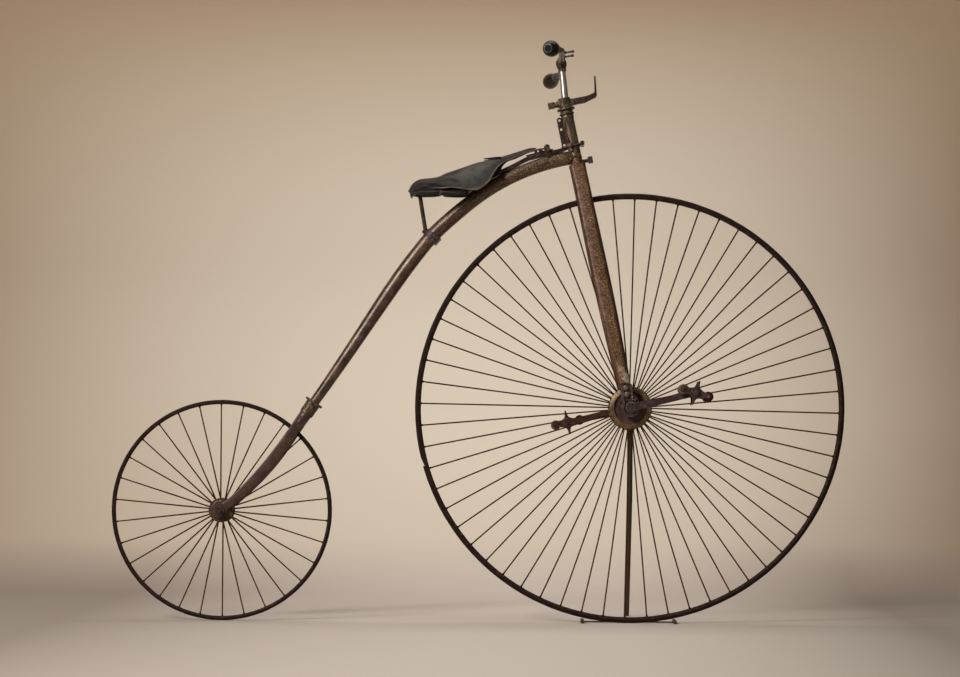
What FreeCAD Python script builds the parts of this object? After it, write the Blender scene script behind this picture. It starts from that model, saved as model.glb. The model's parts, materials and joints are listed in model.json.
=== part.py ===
import FreeCAD, Part
import os
from math import atan, cos, degrees, radians, sin, sqrt, tan
from FreeCAD import Vector

# A high-wheel bicycle on its display stand. Millimetres; +X forward, +Y the rider's left, +Z up.
# The origin is on the floor, midway along the length, in the plane of both wheels.

# Driving dimensions
front_radius = 609.5            # outside of the front tyre: a 48 inch wheel
rear_radius = 312.7             # outside of the rear tyre
wheelbase = 1155.4
total_length = front_radius + wheelbase + rear_radius
front_x = total_length / 2 - front_radius
rear_x = front_x - wheelbase

rake = 11.8                     # degrees that the steering axis leans back
crown_x = 271.0                 # the point where the steering axis leaves the crown's top
crown_z = 1318.0
crank_length = 179.0
crank_angle = 12.9              # degrees that the right crank points above forward
pedal_tilt = {"right": -17.0, "left": 12.9}     # degrees, nose up
running_gap = 0.08              # radial gap of a shaft in its bearing
swivel_gap = 0.3                # gap between the turning faces of the head

bar_half_width = 300.0
bar_x = 228.0
bar_z = 1590.0
bar_straight = 195.0            # half the straight length between the bends
bar_sweep = 20.0                # degrees back
bar_droop = 7.0                 # degrees down

axle_radius = 9.0
crank_inner = 109.0             # distance from the wheel plane to the crank's inner face
crank_outer = 121.0
pedal_inner = 128.0             # inner face of the pedal's inner end plate
pedal_outer = 209.0             # outer face of its outer end plate
rear_axle_radius = 5.5
bracket_holes = (42.3, 66.0, 87.4, 113.8)       # heights along the head axis
bracket_hole_radius = 3.5
bracket_hole_forward = -24.5    # how far they lie from the head axis

x_axis = Vector(1, 0, 0)
y_axis = Vector(0, 1, 0)
z_axis = Vector(0, 0, 1)
sides = {"right": -1, "left": 1}

front_hub_centre = Vector(front_x, 0, front_radius)
rear_hub_centre = Vector(rear_x, 0, rear_radius)
head_origin = Vector(crown_x, 0, crown_z)
head_up = Vector(-sin(radians(rake)), 0, cos(radians(rake)))
head_front = Vector(cos(radians(rake)), 0, sin(radians(rake)))

nodes = {}


# Helpers

def rod(start, end, radius, end_radius=None):
    along = end - start
    if end_radius is None or abs(end_radius - radius) < 1e-6:
        return Part.makeCylinder(radius, along.Length, start, along)
    return Part.makeCone(radius, end_radius, along.Length, start, along)


def across(centre, radius, y0, y1, end_radius=None):
    start = Vector(centre.x, y0, centre.z)
    end = Vector(centre.x, y1, centre.z)
    return rod(start, end, radius, end_radius)


def block(centre, size_x, size_y, size_z):
    corner = Vector(centre.x - size_x / 2, centre.y - size_y / 2, centre.z - size_z / 2)
    return Part.makeBox(size_x, size_y, size_z, corner)


def fused(shapes):
    whole = shapes[0]
    for shape in shapes[1:]:
        whole = whole.fuse(shape)
    return whole.removeSplitter()


def cut(shape, *tools):
    for tool in tools:
        shape = shape.cut(tool)
    return shape


def head_point(forward, side, up):
    return head_origin + head_front * forward + y_axis * side + head_up * up


def in_head(shape):
    # Takes a shape modelled upright about the origin to the leaning head.
    shape.rotate(Vector(0, 0, 0), y_axis, -rake)
    shape.translate(head_origin)
    return shape


def rounded_path(points, radius):
    # Straight runs joined by tangent arcs; radius is one value, or one for each inner point.
    edges = []
    last = points[0]
    for i in range(1, len(points) - 1):
        r = radius[i - 1] if isinstance(radius, (list, tuple)) else radius
        arriving = (points[i] - points[i - 1]).normalize()
        leaving = (points[i + 1] - points[i]).normalize()
        turn = arriving.getAngle(leaving)
        setback = r * tan(turn / 2)
        arc_start = points[i] - arriving * setback
        arc_end = points[i] + leaving * setback
        inward = (leaving - arriving).normalize()
        arc_middle = points[i] + inward * (r / cos(turn / 2) - r)
        edges.append(Part.LineSegment(last, arc_start).toShape())
        edges.append(Part.Arc(arc_start, arc_middle, arc_end).toShape())
        last = arc_end
    edges.append(Part.LineSegment(last, points[-1]).toShape())
    return Part.Wire(edges)


def swept(path, profile):
    return path.makePipeShell([profile], True, False)


def round_bar(points, bend, radius):
    path = rounded_path(points, bend)
    circle = Part.Circle(points[0], points[1] - points[0], radius).toShape()
    return swept(path, Part.Wire([circle]))


def outline(points):
    # A closed wire in the XZ plane; a point (x, z, "arc") is the middle of a three-point arc.
    edges = []
    count = len(points)
    i = 0
    while i < count:
        here = Vector(points[i][0], 0, points[i][1])
        after = points[(i + 1) % count]
        if len(after) == 3:
            end = points[(i + 2) % count]
            arc = Part.Arc(here, Vector(after[0], 0, after[1]), Vector(end[0], 0, end[1]))
            edges.append(arc.toShape())
            i += 2
        else:
            edges.append(Part.LineSegment(here, Vector(after[0], 0, after[1])).toShape())
            i += 1
    return Part.Wire(edges)


def plate(points, y0, y1):
    face = Part.Face(outline(points))
    face.translate(Vector(0, y0, 0))
    return face.extrude(Vector(0, y1 - y0, 0))


def oval(centre, long_way, short_way, length, width):
    # Two straight sides joined by two half circles.
    u = Vector(long_way).normalize()
    v = Vector(short_way).normalize()
    r = width / 2
    straight = length / 2 - r
    a = centre - u * straight + v * r
    b = centre + u * straight + v * r
    c = centre + u * straight - v * r
    d = centre - u * straight - v * r
    edges = [
        Part.LineSegment(a, b).toShape(),
        Part.Arc(b, centre + u * (length / 2), c).toShape(),
        Part.LineSegment(c, d).toShape(),
        Part.Arc(d, centre - u * (length / 2), a).toShape(),
    ]
    return Part.Wire(edges)


def turned(points, centre):
    # Revolves (along, radius) points about the Y line through centre.
    corners = []
    for along, radius in points:
        corners.append(Vector(centre.x + radius, along, centre.z))
    corners.append(corners[0])
    face = Part.Face(Part.makePolygon(corners))
    return face.revolve(centre, y_axis, 360)


# Wheels

def make_tyre(centre, radius, section):
    return Part.makeTorus(radius - section, section, centre, y_axis)


def make_rim(centre, radius, section, thickness, lip):
    # A crescent that holds the lower part of a round tyre.
    middle = radius - section
    edge_angle = radians(80)
    half_width = section * sin(edge_angle)
    edge_radius = middle - section * cos(edge_angle)
    inner = middle - section - thickness
    a = Vector(centre.x + edge_radius, -half_width - lip, centre.z)
    b = Vector(centre.x + inner, 0, centre.z)
    c = Vector(centre.x + edge_radius, half_width + lip, centre.z)
    d = Vector(centre.x + edge_radius, half_width, centre.z)
    e = Vector(centre.x + middle - section, 0, centre.z)
    f = Vector(centre.x + edge_radius, -half_width, centre.z)
    wire = Part.Wire([
        Part.Arc(a, b, c).toShape(),
        Part.LineSegment(c, d).toShape(),
        Part.Arc(d, e, f).toShape(),
        Part.LineSegment(f, a).toShape(),
    ])
    return Part.Face(wire).revolve(centre, y_axis, 360)


def make_spokes(centre, count, first_angle, hub_radius, rim_radius, flange_y, rim_y, radius):
    # Radial spokes, taken in turn to the left flange and the right one.
    spokes = []
    for i in range(count):
        angle = radians(first_angle + i * 360.0 / count)
        side = 1 if i % 2 == 0 else -1
        outward = Vector(cos(angle), 0, sin(angle))
        foot = centre + outward * hub_radius + y_axis * (side * flange_y)
        tip = centre + outward * rim_radius + y_axis * (side * rim_y)
        spokes.append(rod(foot, tip, radius))
    return Part.makeCompound(spokes)


def make_front_wheel():
    section = 7.5
    rim_thickness = 1.8
    rim_inside = front_radius - 2 * section - rim_thickness
    flange_radius = 61.0
    flange_outer = 49.0
    flange_inner = 41.0
    recess_radius = 45.2
    recess_floor = 44.5
    barrel_radius = 22.0
    nodes["front_tyre"] = make_tyre(front_hub_centre, front_radius, section)
    nodes["front_rim"] = make_rim(front_hub_centre, front_radius, section, rim_thickness, 1.2)
    nodes["front_spokes"] = make_spokes(
        front_hub_centre, 60, 5.05, flange_radius - 1.5, rim_inside + 1.0, 45.0, 2.5, 2.0)
    profile = []
    for sign in (-1, 1):
        half = [
            (sign * recess_floor, axle_radius),
            (sign * recess_floor, recess_radius),
            (sign * flange_outer, recess_radius),
            (sign * flange_outer, flange_radius),
            (sign * flange_inner, flange_radius),
            (sign * flange_inner, barrel_radius),
        ]
        profile += half if sign < 0 else half[::-1]
    nodes["front_hub"] = turned(profile, front_hub_centre)


def make_cranks():
    nodes["front_axle"] = across(front_hub_centre, axle_radius, -crank_outer - 1, crank_outer + 1)
    boss_radius = 16.0
    arm_root = 11.0
    arm_tip = 7.8
    pin_radius = 6.0
    pins = []
    for name, side in sides.items():
        angle = radians(crank_angle if name == "right" else crank_angle + 180)
        outward = Vector(cos(angle), 0, sin(angle))
        upward = Vector(-sin(angle), 0, cos(angle))
        tip = front_hub_centre + outward * crank_length
        corners = [
            front_hub_centre + upward * arm_root,
            tip + upward * arm_tip,
            tip - upward * arm_tip,
            front_hub_centre - upward * arm_root,
        ]
        corners.append(corners[0])
        arm = Part.Face(Part.makePolygon(corners))
        arm.translate(y_axis * (side * crank_inner))
        arm = arm.extrude(y_axis * (side * (crank_outer - crank_inner)))
        boss = across(front_hub_centre, boss_radius, side * (crank_inner - 4), side * (crank_outer + 1))
        eye = across(tip, arm_tip + 1.5, side * crank_inner, side * crank_outer)
        crank = fused([arm, boss, eye])
        bore = across(front_hub_centre, axle_radius, side * 90, side * 140)
        seat = across(tip, pin_radius, side * 100, side * 130)
        nodes["crank_" + name] = cut(crank, bore, seat)
        pin = across(tip, pin_radius, side * crank_inner, side * (pedal_outer + 3))
        collar = across(tip, 9.0, side * crank_outer, side * (crank_outer + 3))
        pins.append(fused([pin, collar]))
        make_pedal(name, side, tip)
    nodes["pedal_pins"] = Part.makeCompound(pins)


def make_pedal(name, side, centre):
    plate_thickness = 3.5
    roller_offset = 35.5
    roller_radius = 14.0
    rod_radius = 3.5
    sleeve_radius = 10.0
    half_height = 35.0
    waist = 11.0
    # A four-armed end plate: round at the two rollers, pointed above and below.
    half = [
        (roller_offset, 7.0),
        (waist + 3, waist),
        (3.5, half_height - 3),
        (0.0, half_height),
        (-3.5, half_height - 3),
        (-waist - 3, waist),
        (-roller_offset, 7.0),
    ]
    points = [(x, z) for x, z in half]
    points.append((-roller_offset - 7.0, 0.0, "arc"))
    points += [(-x, -z) for x, z in half]
    points.append((roller_offset + 7.0, 0.0, "arc"))
    plates = []
    for y in (pedal_inner, pedal_outer - plate_thickness):
        plates.append(plate(points, side * y, side * (y + plate_thickness)))
    origin = Vector(0, 0, 0)
    sleeve = across(origin, sleeve_radius, side * pedal_inner, side * pedal_outer)
    cap = across(origin, 15.0, side * pedal_outer, side * (pedal_outer + 4), 12.0)
    inner_cap = across(origin, 14.0, side * (pedal_inner - 2), side * pedal_inner)
    parts = plates + [sleeve, cap, inner_cap]
    rollers = []
    for end in (-1, 1):
        middle = Vector(end * roller_offset, 0, 0)
        parts.append(across(middle, rod_radius, side * (pedal_inner - 2), side * (pedal_outer + 3)))
        roller = across(middle, roller_radius, side * (pedal_inner + plate_thickness),
                        side * (pedal_outer - plate_thickness))
        rollers.append(cut(roller, across(middle, rod_radius, side * 100, side * 230)))
    cage = fused(parts)
    pin_room = across(origin, 6.0 + running_gap, side * 100, side * (pedal_outer + 3.2))
    cage = cut(cage, pin_room)
    rollers = Part.makeCompound(rollers)
    for shape, label in ((cage, "pedal_cage_"), (rollers, "pedal_rollers_")):
        shape.rotate(origin, y_axis, -pedal_tilt[name])
        shape.translate(centre)
        nodes[label + name] = shape


def make_rear_wheel():
    section = 5.5
    rim_thickness = 1.5
    rim_inside = rear_radius - 2 * section - rim_thickness
    nodes["rear_tyre"] = make_tyre(rear_hub_centre, rear_radius, section)
    nodes["rear_rim"] = make_rim(rear_hub_centre, rear_radius, section, rim_thickness, 1.0)
    nodes["rear_spokes"] = make_spokes(
        rear_hub_centre, 30, 6.6, 33.0, rim_inside + 0.8, 22.5, 1.5, 1.9)
    profile = []
    for sign in (-1, 1):
        half = [
            (sign * 27.0, rear_axle_radius + running_gap),
            (sign * 27.0, 20.0),
            (sign * 26.0, 27.0),
            (sign * 24.5, 34.5),
            (sign * 20.5, 34.5),
            (sign * 18.5, 15.0),
        ]
        profile += half if sign < 0 else half[::-1]
    nodes["rear_hub"] = turned(profile, rear_hub_centre)


# Steering: legs, crown, bearings, head, bar and stand

leg_foot_z = 662.0
leg_foot_x = 414.3
leg_foot_y = 67.0
leg_top_y = 36.0
leg_top_up = -24.0              # height of the leg's top along the head axis
bearing_inner = 56.0
bearing_outer = 80.0
leg_thickness = 21.0

# share of the way up a fork leg, width of its oval there
leg_widths = [(0.0, 36.0), (0.1, 38.5), (0.2, 41.5), (0.3, 44.5), (0.45, 47.0), (0.76, 45.5), (1.0, 44.0)]


def make_fork():
    for name, side in sides.items():
        foot = Vector(leg_foot_x, side * leg_foot_y, leg_foot_z)
        top = head_point(0, side * leg_top_y, leg_top_up)
        rings = []
        for share, width in leg_widths:
            middle = foot + (top - foot) * share
            long_way = x_axis if share == 0 else head_front
            rings.append(oval(middle, long_way, y_axis, width, leg_thickness))
        leg = Part.makeLoft(rings, True, False)
        y0 = side * bearing_inner
        y1 = side * bearing_outer
        hub = front_hub_centre
        housing_radius = 26.5
        tongue = plate([
            (leg_foot_x - 17.5, leg_foot_z - 8),
            (leg_foot_x - 17.5, leg_foot_z + 8),
            (leg_foot_x, leg_foot_z + 16, "arc"),
            (leg_foot_x + 17.5, leg_foot_z + 8),
            (leg_foot_x + 17.5, leg_foot_z - 8),
        ], side * 77.5, y1)
        stirrup = fused([
            tongue,
            plate([
                (leg_foot_x - 17.5, leg_foot_z),
                (leg_foot_x + 17.5, leg_foot_z),
                (hub.x + 23.5, hub.z + 10),
                (hub.x + 10, hub.z - 10),
                (hub.x - 10, hub.z - 10),
                (hub.x - 24.5, hub.z + 8),
            ], y0, y1),
            across(hub, housing_radius, y0, y1),
        ])
        groove = across(hub, 20.0, side * (bearing_outer - 3), side * (bearing_outer + 1))
        bolts = []
        for bolt_x, bolt_z in ((front_x - 14.8, 665.7), (front_x - 10.7, 647.0)):
            bolts.append(across(Vector(bolt_x, 0, bolt_z), 6.8, y1, y1 + side * 4.0))
        bush = across(hub, 15.0, side * (bearing_outer - 3), side * (bearing_outer + 3))
        bore = across(hub, axle_radius + running_gap, side * 40, side * 100)
        nodes["fork_leg_" + name] = leg
        nodes["axle_bearing_" + name] = cut(fused([cut(stirrup, groove), bush] + bolts), bore)
    # A cap over both legs' tops, a bridge between them and a boss below the neck
    cap_thickness = 3.5
    cap = Part.Face(oval(Vector(0, 0, leg_top_up), y_axis, x_axis, 2 * leg_top_y + 24.0, 47.0))
    cap = cap.extrude(Vector(0, 0, cap_thickness))
    bridge = block(Vector(0, 0, leg_top_up - 15), 34.0, 2 * leg_top_y - 10.0, 30.0)
    boss = rod(Vector(0, 0, leg_top_up + cap_thickness - 1), Vector(0, 0, 0), 17.5)
    crown = in_head(fused([cap, bridge, boss]))
    nodes["fork_crown"] = cut(crown, nodes["fork_leg_right"], nodes["fork_leg_left"])
    shank = rod(Vector(17.0, 0, -13.0), Vector(33.0, 0, -13.0), 5.0)
    head = block(Vector(39.5, 0, -13.0), 13.6, 18.5, 18.5)
    nodes["crown_bolt"] = cut(in_head(fused([shank, head])), nodes["fork_crown"])


spindle_radius = 10.0
neck_top = 122.0
clamp_low = 144.0
clamp_high = 172.0


def make_head():
    spindle = rod(Vector(0, 0, 0), Vector(0, 0, clamp_low), spindle_radius)
    nodes["head_spindle"] = in_head(spindle)
    nut = fused([
        rod(Vector(0, 0, neck_top + swivel_gap), Vector(0, 0, 139), 18.0),
        rod(Vector(0, 0, 126), Vector(0, 0, 130), 21.0),
        rod(Vector(0, 0, 138.5), Vector(0, 0, clamp_low), 25.5),
    ])
    nodes["adjusting_nut"] = cut(in_head(nut), nodes["head_spindle"])
    middle = (clamp_low + clamp_high) / 2
    clamp = fused([
        rod(Vector(0, 0, clamp_low), Vector(0, 0, clamp_high), 18.0),
        block(Vector(14, 0, middle), 22.0, 18.0, 18.0),
        rod(Vector(-12, 0, middle + 1), Vector(-30, 0, middle + 1), 11.0, 7.0),
        block(Vector(-39, 0, middle + 1), 18.0, 17.0, 17.0),
    ])
    nodes["top_clamp"] = in_head(clamp)
    bracket_points = [
        (252.0, 1464.0),
        (267.0, 1469.5),
        (295.4, 1475.2),
        (323.5, 1489.4),
        (328.5, 1493.5, "arc"),
        (329.4, 1500.7),
        (325.2, 1551.0),
        (321.0, 1551.0),
        (323.0, 1508.0),
        (322.0, 1504.5, "arc"),
        (319.0, 1502.0),
        (299.9, 1493.9),
        (252.0, 1484.5),
    ]
    bracket = plate(bracket_points, -8.0, 8.0)
    nodes["lamp_bracket"] = cut(bracket, nodes["top_clamp"])


def make_handlebar():
    bar_radius = 8.0
    peg_collar = 10.0           # a lever peg stands on a collar, this far from the bar's middle
    peg_tip = 34.0
    peg_radius = 3.0
    centre = Vector(bar_x, 0, bar_z)
    reach = bar_half_width - bar_straight
    ends = {}
    for name, side in sides.items():
        ends[name] = Vector(bar_x - reach * tan(radians(bar_sweep)), side * bar_half_width,
                            bar_z - reach * tan(radians(bar_droop)))
    bend_right = Vector(bar_x, -bar_straight, bar_z)
    bend_left = Vector(bar_x, bar_straight, bar_z)
    bar = round_bar([ends["right"], bend_right, bend_left, ends["left"]], 60.0, bar_radius)
    pegs = []
    forward = Vector(26, 0, 4).normalize()
    for y in (-150.0, -85.0):
        root = Vector(bar_x, y, bar_z)
        pegs += [rod(root, root + forward * peg_tip, peg_radius), rod(root, root + forward * peg_collar, 4.4)]
    nodes["handlebar"] = fused([bar] + pegs)
    post_low = head_point(3.5, 0, clamp_high)
    post_high = Vector(bar_x + 2, 0, bar_z - 14)
    post = rod(post_low, post_high, 10.0, 8.8)
    nodes["handlebar_post"] = cut(post, nodes["top_clamp"])
    lug = fused([
        Part.makeSphere(15.5, Vector(bar_x, 0, bar_z - 5)),
        across(centre, 12.0, -21.0, 21.0),
        across(centre, 10.2, -42.0, 42.0),
        rod(Vector(bar_x + 3.4, 0, bar_z - 27), Vector(bar_x, 0, bar_z - 10), 11.0, 13.0),
    ])
    nodes["bar_lug"] = cut(lug, nodes["handlebar"], nodes["handlebar_post"])
    rings = []
    for name, side in sides.items():
        bend = Vector(bar_x, side * bar_straight, bar_z)
        inward = (bend - ends[name]).normalize()
        grip, ferrule, end_ring = make_grip(ends[name], inward, bar_radius)
        nodes["grip_" + name] = grip
        rings += [ferrule, end_ring]
    nodes["grip_rings"] = Part.makeCompound(rings)


def make_grip(end, inward, bar_radius):
    # A pear-shaped grip, turned about the bar's end; it stands 2 mm inside the bar's tip.
    length = 64.0
    fat = 22.3
    ferrule_length = 9.0
    ring_length = 3.5
    side_way = Vector(inward).cross(z_axis).normalize()

    def at(along, radius):
        return end + inward * along + side_way * radius

    start = ring_length
    finish = ring_length + length
    wire = Part.Wire([
        Part.LineSegment(at(start, bar_radius), at(start, 12.4)).toShape(),
        Part.Arc(at(start, 12.4), at(start + 23, fat), at(finish, 11.5)).toShape(),
        Part.LineSegment(at(finish, 11.5), at(finish, bar_radius)).toShape(),
        Part.LineSegment(at(finish, bar_radius), at(start, bar_radius)).toShape(),
    ])
    grip = Part.Face(wire).revolve(end, inward, 360)
    bar_hole = rod(end - inward * 5, end + inward * 90, bar_radius)
    ferrule = rod(at(finish, 0), at(finish + ferrule_length, 0), 12.5, 10.5)
    end_ring = rod(at(0, 0), at(start, 0), 12.4)
    return grip, cut(ferrule, bar_hole), cut(end_ring, bar_hole)


def make_stand():
    leg_x = front_x + 4.6
    leg_radius = 8.1
    leg_y = bearing_outer + 4.0 + leg_radius
    knee_z = 352.0
    foot_y = 284.0
    top = Vector(leg_x, leg_y, front_radius - 26.0)
    knee = Vector(leg_x, leg_y, knee_z)
    below = Vector(leg_x, leg_y + (foot_y - leg_y) * 1.1, knee_z - knee_z * 1.1)
    leg = round_bar([top, knee, below], 60.0, leg_radius)
    floor = block(Vector(leg_x, foot_y, -100), 200, 300, 200)
    nodes["stand_leg"] = cut(leg, floor)
    # A plate on the left bearing's face, with a short socket that holds the leg's top.
    clip_low = front_radius - 62.0
    clip = fused([
        plate([
            (leg_x - 13, clip_low),
            (leg_x + 13, clip_low),
            (front_x + 21, front_radius - 12),
            (front_x - 21, front_radius - 12),
        ], bearing_outer, bearing_outer + 4.0),
        rod(Vector(leg_x, leg_y, clip_low), Vector(leg_x, leg_y, front_radius - 24.0), 10.5),
    ])
    clip = cut(clip, nodes["stand_leg"], across(front_hub_centre, 18.0, 60, 130))
    nodes["stand_clip"] = cut(clip, nodes["axle_bearing_left"])
    chock_radius = 5.5
    chock_gap = 3.0
    reach = sqrt((front_radius + chock_gap + chock_radius) ** 2 - (front_radius - chock_radius) ** 2)
    bars = []
    for direction in (-1, 1):
        middle = Vector(front_x + direction * reach, 0, chock_radius)
        bars.append(across(middle, chock_radius, -34.0, 34.0))
    strap = block(Vector(front_x, 29.0, 1.6), 2 * reach, 8.0, 3.2)
    nodes["wheel_chocks"] = fused(bars + [strap])


# Frame: neck, backbone, rear fork, spring and saddle

neck_radius = 16.3
spring_eye = Vector(235.4, 0, 1342.7)

# The backbone's guide line: straight runs (x, z), with the bend between them
backbone_points = [(262.0, 1320.2), (103.5, 1291.4), (-142.4, 1095.2), (-467.0, 619.5)]
backbone_bends = [616.0, 308.0]
# Even steps along the guide line: how far the tube's middle sits inside it, and the radius
backbone_steps = [
    (0.0, 19.5), (0.0, 19.2), (-0.1, 19.0), (-0.6, 18.9), (-1.7, 19.3), (-2.8, 19.9), (-1.2, 20.5), (2.2, 20.5),
    (1.1, 20.5), (-1.9, 20.6), (-2.6, 20.3), (-2.0, 19.4), (-0.9, 18.2), (0.1, 17.2), (0.7, 16.2), (0.9, 15.1),
]
backbone_end_radius = 14.0
backbone_end = Vector(backbone_points[-1][0], 0, backbone_points[-1][1])
backbone_down = (backbone_end - Vector(backbone_points[-2][0], 0, backbone_points[-2][1])).normalize()


def path_place(path, distance):
    # The point and direction at a distance along a path of tangent runs
    for edge in path.Edges:
        if distance <= edge.Length:
            break
        distance -= edge.Length
    place = edge.getParameterByLength(distance)
    return edge.valueAt(place), edge.tangentAt(place)


def make_backbone():
    points = [Vector(x, 0, z) for x, z in backbone_points]
    path = rounded_path(points, backbone_bends)
    sections = []
    steps = backbone_steps + [(0.0, backbone_end_radius)]
    for i, (inside, radius) in enumerate(steps):
        point, along = path_place(path, path.Length * i / (len(steps) - 1))
        inward = along.cross(y_axis)
        ring = Part.makeCircle(radius)
        ring.Placement = FreeCAD.Placement(point + inward * inside, FreeCAD.Rotation(y_axis, inward, along, "ZXY"))
        sections.append(Part.Wire([ring]))
    tube = Part.makeLoft(sections, True)
    neck_room = in_head(rod(Vector(0, 0, swivel_gap), Vector(0, 0, 200), neck_radius))
    boss_room = in_head(rod(Vector(0, 0, -60), Vector(0, 0, swivel_gap), 19.5))
    nodes["backbone"] = cut(tube, neck_room, boss_room)


def make_neck():
    bore = rod(Vector(0, 0, -10), Vector(0, 0, 200), spindle_radius + swivel_gap)
    neck = fused([
        rod(Vector(0, 0, swivel_gap), Vector(0, 0, neck_top), neck_radius),
        rod(Vector(0, 0, neck_top - 5), Vector(0, 0, neck_top), 18.5),
    ])
    nodes["neck"] = in_head(cut(neck, bore))
    plate_back = -32.0
    plate_low = 36.0
    plate_high = 122.0
    middle = bracket_hole_forward
    flat = block(Vector((plate_back - 10) / 2, 0, (plate_low + plate_high - 7.5) / 2),
                 -10 - plate_back, 5.0, plate_high - 7.5 - plate_low)
    crest = rod(Vector(middle, -2.5, plate_high - 7.5), Vector(middle, 2.5, plate_high - 7.5), 7.5)
    bracket = fused([flat, crest])
    holes = []
    for up in bracket_holes:
        holes.append(rod(Vector(middle, -10, up), Vector(middle, 10, up), bracket_hole_radius))
    neck_room = rod(Vector(0, 0, 0), Vector(0, 0, neck_top), neck_radius)
    collar_room = rod(Vector(0, 0, neck_top - 5), Vector(0, 0, neck_top), 18.5)
    bracket = in_head(cut(bracket, neck_room, collar_room, *holes))
    nodes["spring_bracket"] = cut(bracket, across(spring_eye, 7.0, -10, 10))


def make_rear_fork():
    top = backbone_end
    down = backbone_down
    socket = fused([
        rod(top - down * 3, top + down * 3, 27.0),
        rod(top + down * 3, top + down * 40, 20.5, 19.8),
    ])
    nodes["backbone_socket"] = cut(socket, nodes["backbone"])
    wide = down.cross(y_axis)
    fork_crown = Part.makeLoft([
        oval(top + down * 40, y_axis, wide, 46.0, 33.5),
        oval(top + down * 72, y_axis, wide, 52.0, 31.0),
    ], True, True)
    # x, z, y, width, thickness of the blade, from the crown down to the axle
    blade_table = [
        (-496.0, 577.5, 20.0, 31.0, 8.0),
        (-529.5, 528.0, 22.0, 30.0, 8.0),
        (-563.0, 480.0, 26.0, 31.0, 8.0),
        (-600.0, 433.0, 30.0, 30.0, 8.0),
        (-640.0, 389.0, 33.0, 27.5, 8.0),
        (-683.0, 347.5, 35.0, 25.5, 8.0),
        (-721.0, 317.5, 36.0, 25.0, 8.0),
    ]
    blades = []
    for side in sides.values():
        rings = []
        for i, (x, z, y, width, thickness) in enumerate(blade_table):
            low = blade_table[max(i - 1, 0)]
            high = blade_table[min(i + 1, len(blade_table) - 1)]
            along = Vector(high[0] - low[0], 0, high[1] - low[1])
            rings.append(oval(Vector(x, side * y, z), along.cross(y_axis), y_axis, width, thickness))
        blade = Part.makeLoft(rings, True, False)
        eye = across(rear_hub_centre, 19.5, side * 32.0, side * 40.0)
        blades.append(fused([blade, eye]))
    axle_room = across(rear_hub_centre, rear_axle_radius, -60, 60)
    fork = fused([fork_crown] + blades)
    nodes["rear_fork"] = cut(fork, axle_room, nodes["backbone_socket"])
    axle = across(rear_hub_centre, rear_axle_radius, -53.0, 53.0)
    nuts = []
    for side in sides.values():
        nuts.append(across(rear_hub_centre, 12.8, side * 40.0, side * 48.0))
        nuts.append(across(rear_hub_centre, 9.5, side * 27.5, side * 32.0))
    nodes["rear_axle"] = fused([axle] + nuts)


def strip(points, bend, width, thickness):
    # A flat bar whose width lies along Y, swept through (x, z) points.
    path_points = [Vector(x, 0, z) for x, z in points]
    path = rounded_path(path_points, bend)
    along = (path_points[1] - path_points[0]).normalize()
    up = along.cross(y_axis)
    corners = []
    for a, b in ((-1, -1), (1, -1), (1, 1), (-1, 1), (-1, -1)):
        corners.append(path_points[0] + y_axis * (a * width / 2) + up * (b * thickness / 2))
    return swept(path, Part.makePolygon(corners))


def make_spring():
    spring_points = [
        (240.0, 1343.9), (186.0, 1331.5), (132.5, 1317.0), (93.0, 1296.0),
        (56.0, 1278.0), (0.0, 1254.0), (-70.0, 1231.0), (-140.0, 1217.0), (-198.0, 1213.0),
    ]
    spring = strip(spring_points, 60.0, 22.0, 6.0)
    eye = across(spring_eye, 6.5, -11.0, 11.0)
    pin_room = across(spring_eye, 3.5, -30, 30)
    spring = cut(fused([spring, eye]), pin_room)
    # The yoke: a pin through the spring's eye, a rod past each side of the neck, a bar in front
    # of it, and a link up to the bracket on each side.
    front_at = Vector(289.0, 0, 1359.0)
    bolt_at = head_point(bracket_hole_forward, 0, bracket_holes[1])
    link_at = Vector(254.0, 0, 1350.2)
    yoke = [
        across(spring_eye, 3.5, -24.0, 24.0),
        across(front_at, 6.3, -25.0, 25.0),
        across(bolt_at, 3.4, -26.0, 26.0),
    ]
    for side in sides.values():
        offset = y_axis * (side * 20.5)
        yoke.append(rod(spring_eye + offset, front_at + offset, 2.9))
        link = (link_at - bolt_at).normalize()
        wide = link.cross(y_axis)
        bar = Part.makeLoft([
            oval(bolt_at - link * 5 + offset, wide, y_axis, 11.0, 3.4),
            oval(link_at + link * 5 + offset, wide, y_axis, 11.0, 3.4),
        ], True, True)
        yoke.append(bar)
        yoke.append(across(bolt_at, 6.0, side * 22.0, side * 26.0))
    nodes["spring_yoke"] = fused(yoke)
    nodes["saddle_spring"] = spring
    clip_at = Vector(190.6, 0, 1337.0)
    clip = fused([
        block(clip_at, 13.0, 27.0, 24.0),
        across(clip_at, 3.0, -18.0, 18.0),
        rod(Vector(190.6, 0, 1349.0), Vector(190.6, 0, 1355.0), 5.0),
    ])
    nodes["spring_clip"] = cut(clip, nodes["saddle_spring"], nodes["backbone"])
    nose = strip([(184.0, 1344.5), (160.0, 1341.0), (132.0, 1333.5)], 40.0, 16.0, 3.5)
    nodes["nose_plate"] = cut(nose, nodes["spring_clip"])


# x, half width, crown height, edge height of the leather
saddle_table = [
    (160.0, 12.0, 1350.0, 1343.0),
    (120.0, 16.0, 1338.0, 1329.0),
    (77.0, 28.0, 1326.0, 1308.0),
    (33.0, 56.0, 1312.0, 1275.0),
    (-12.0, 80.0, 1303.0, 1222.0),
    (-70.0, 88.0, 1282.0, 1230.0),
    (-122.0, 92.0, 1263.0, 1236.0),
    (-172.0, 78.0, 1253.0, 1228.0),
    (-200.0, 50.0, 1236.0, 1222.0),
]


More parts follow.
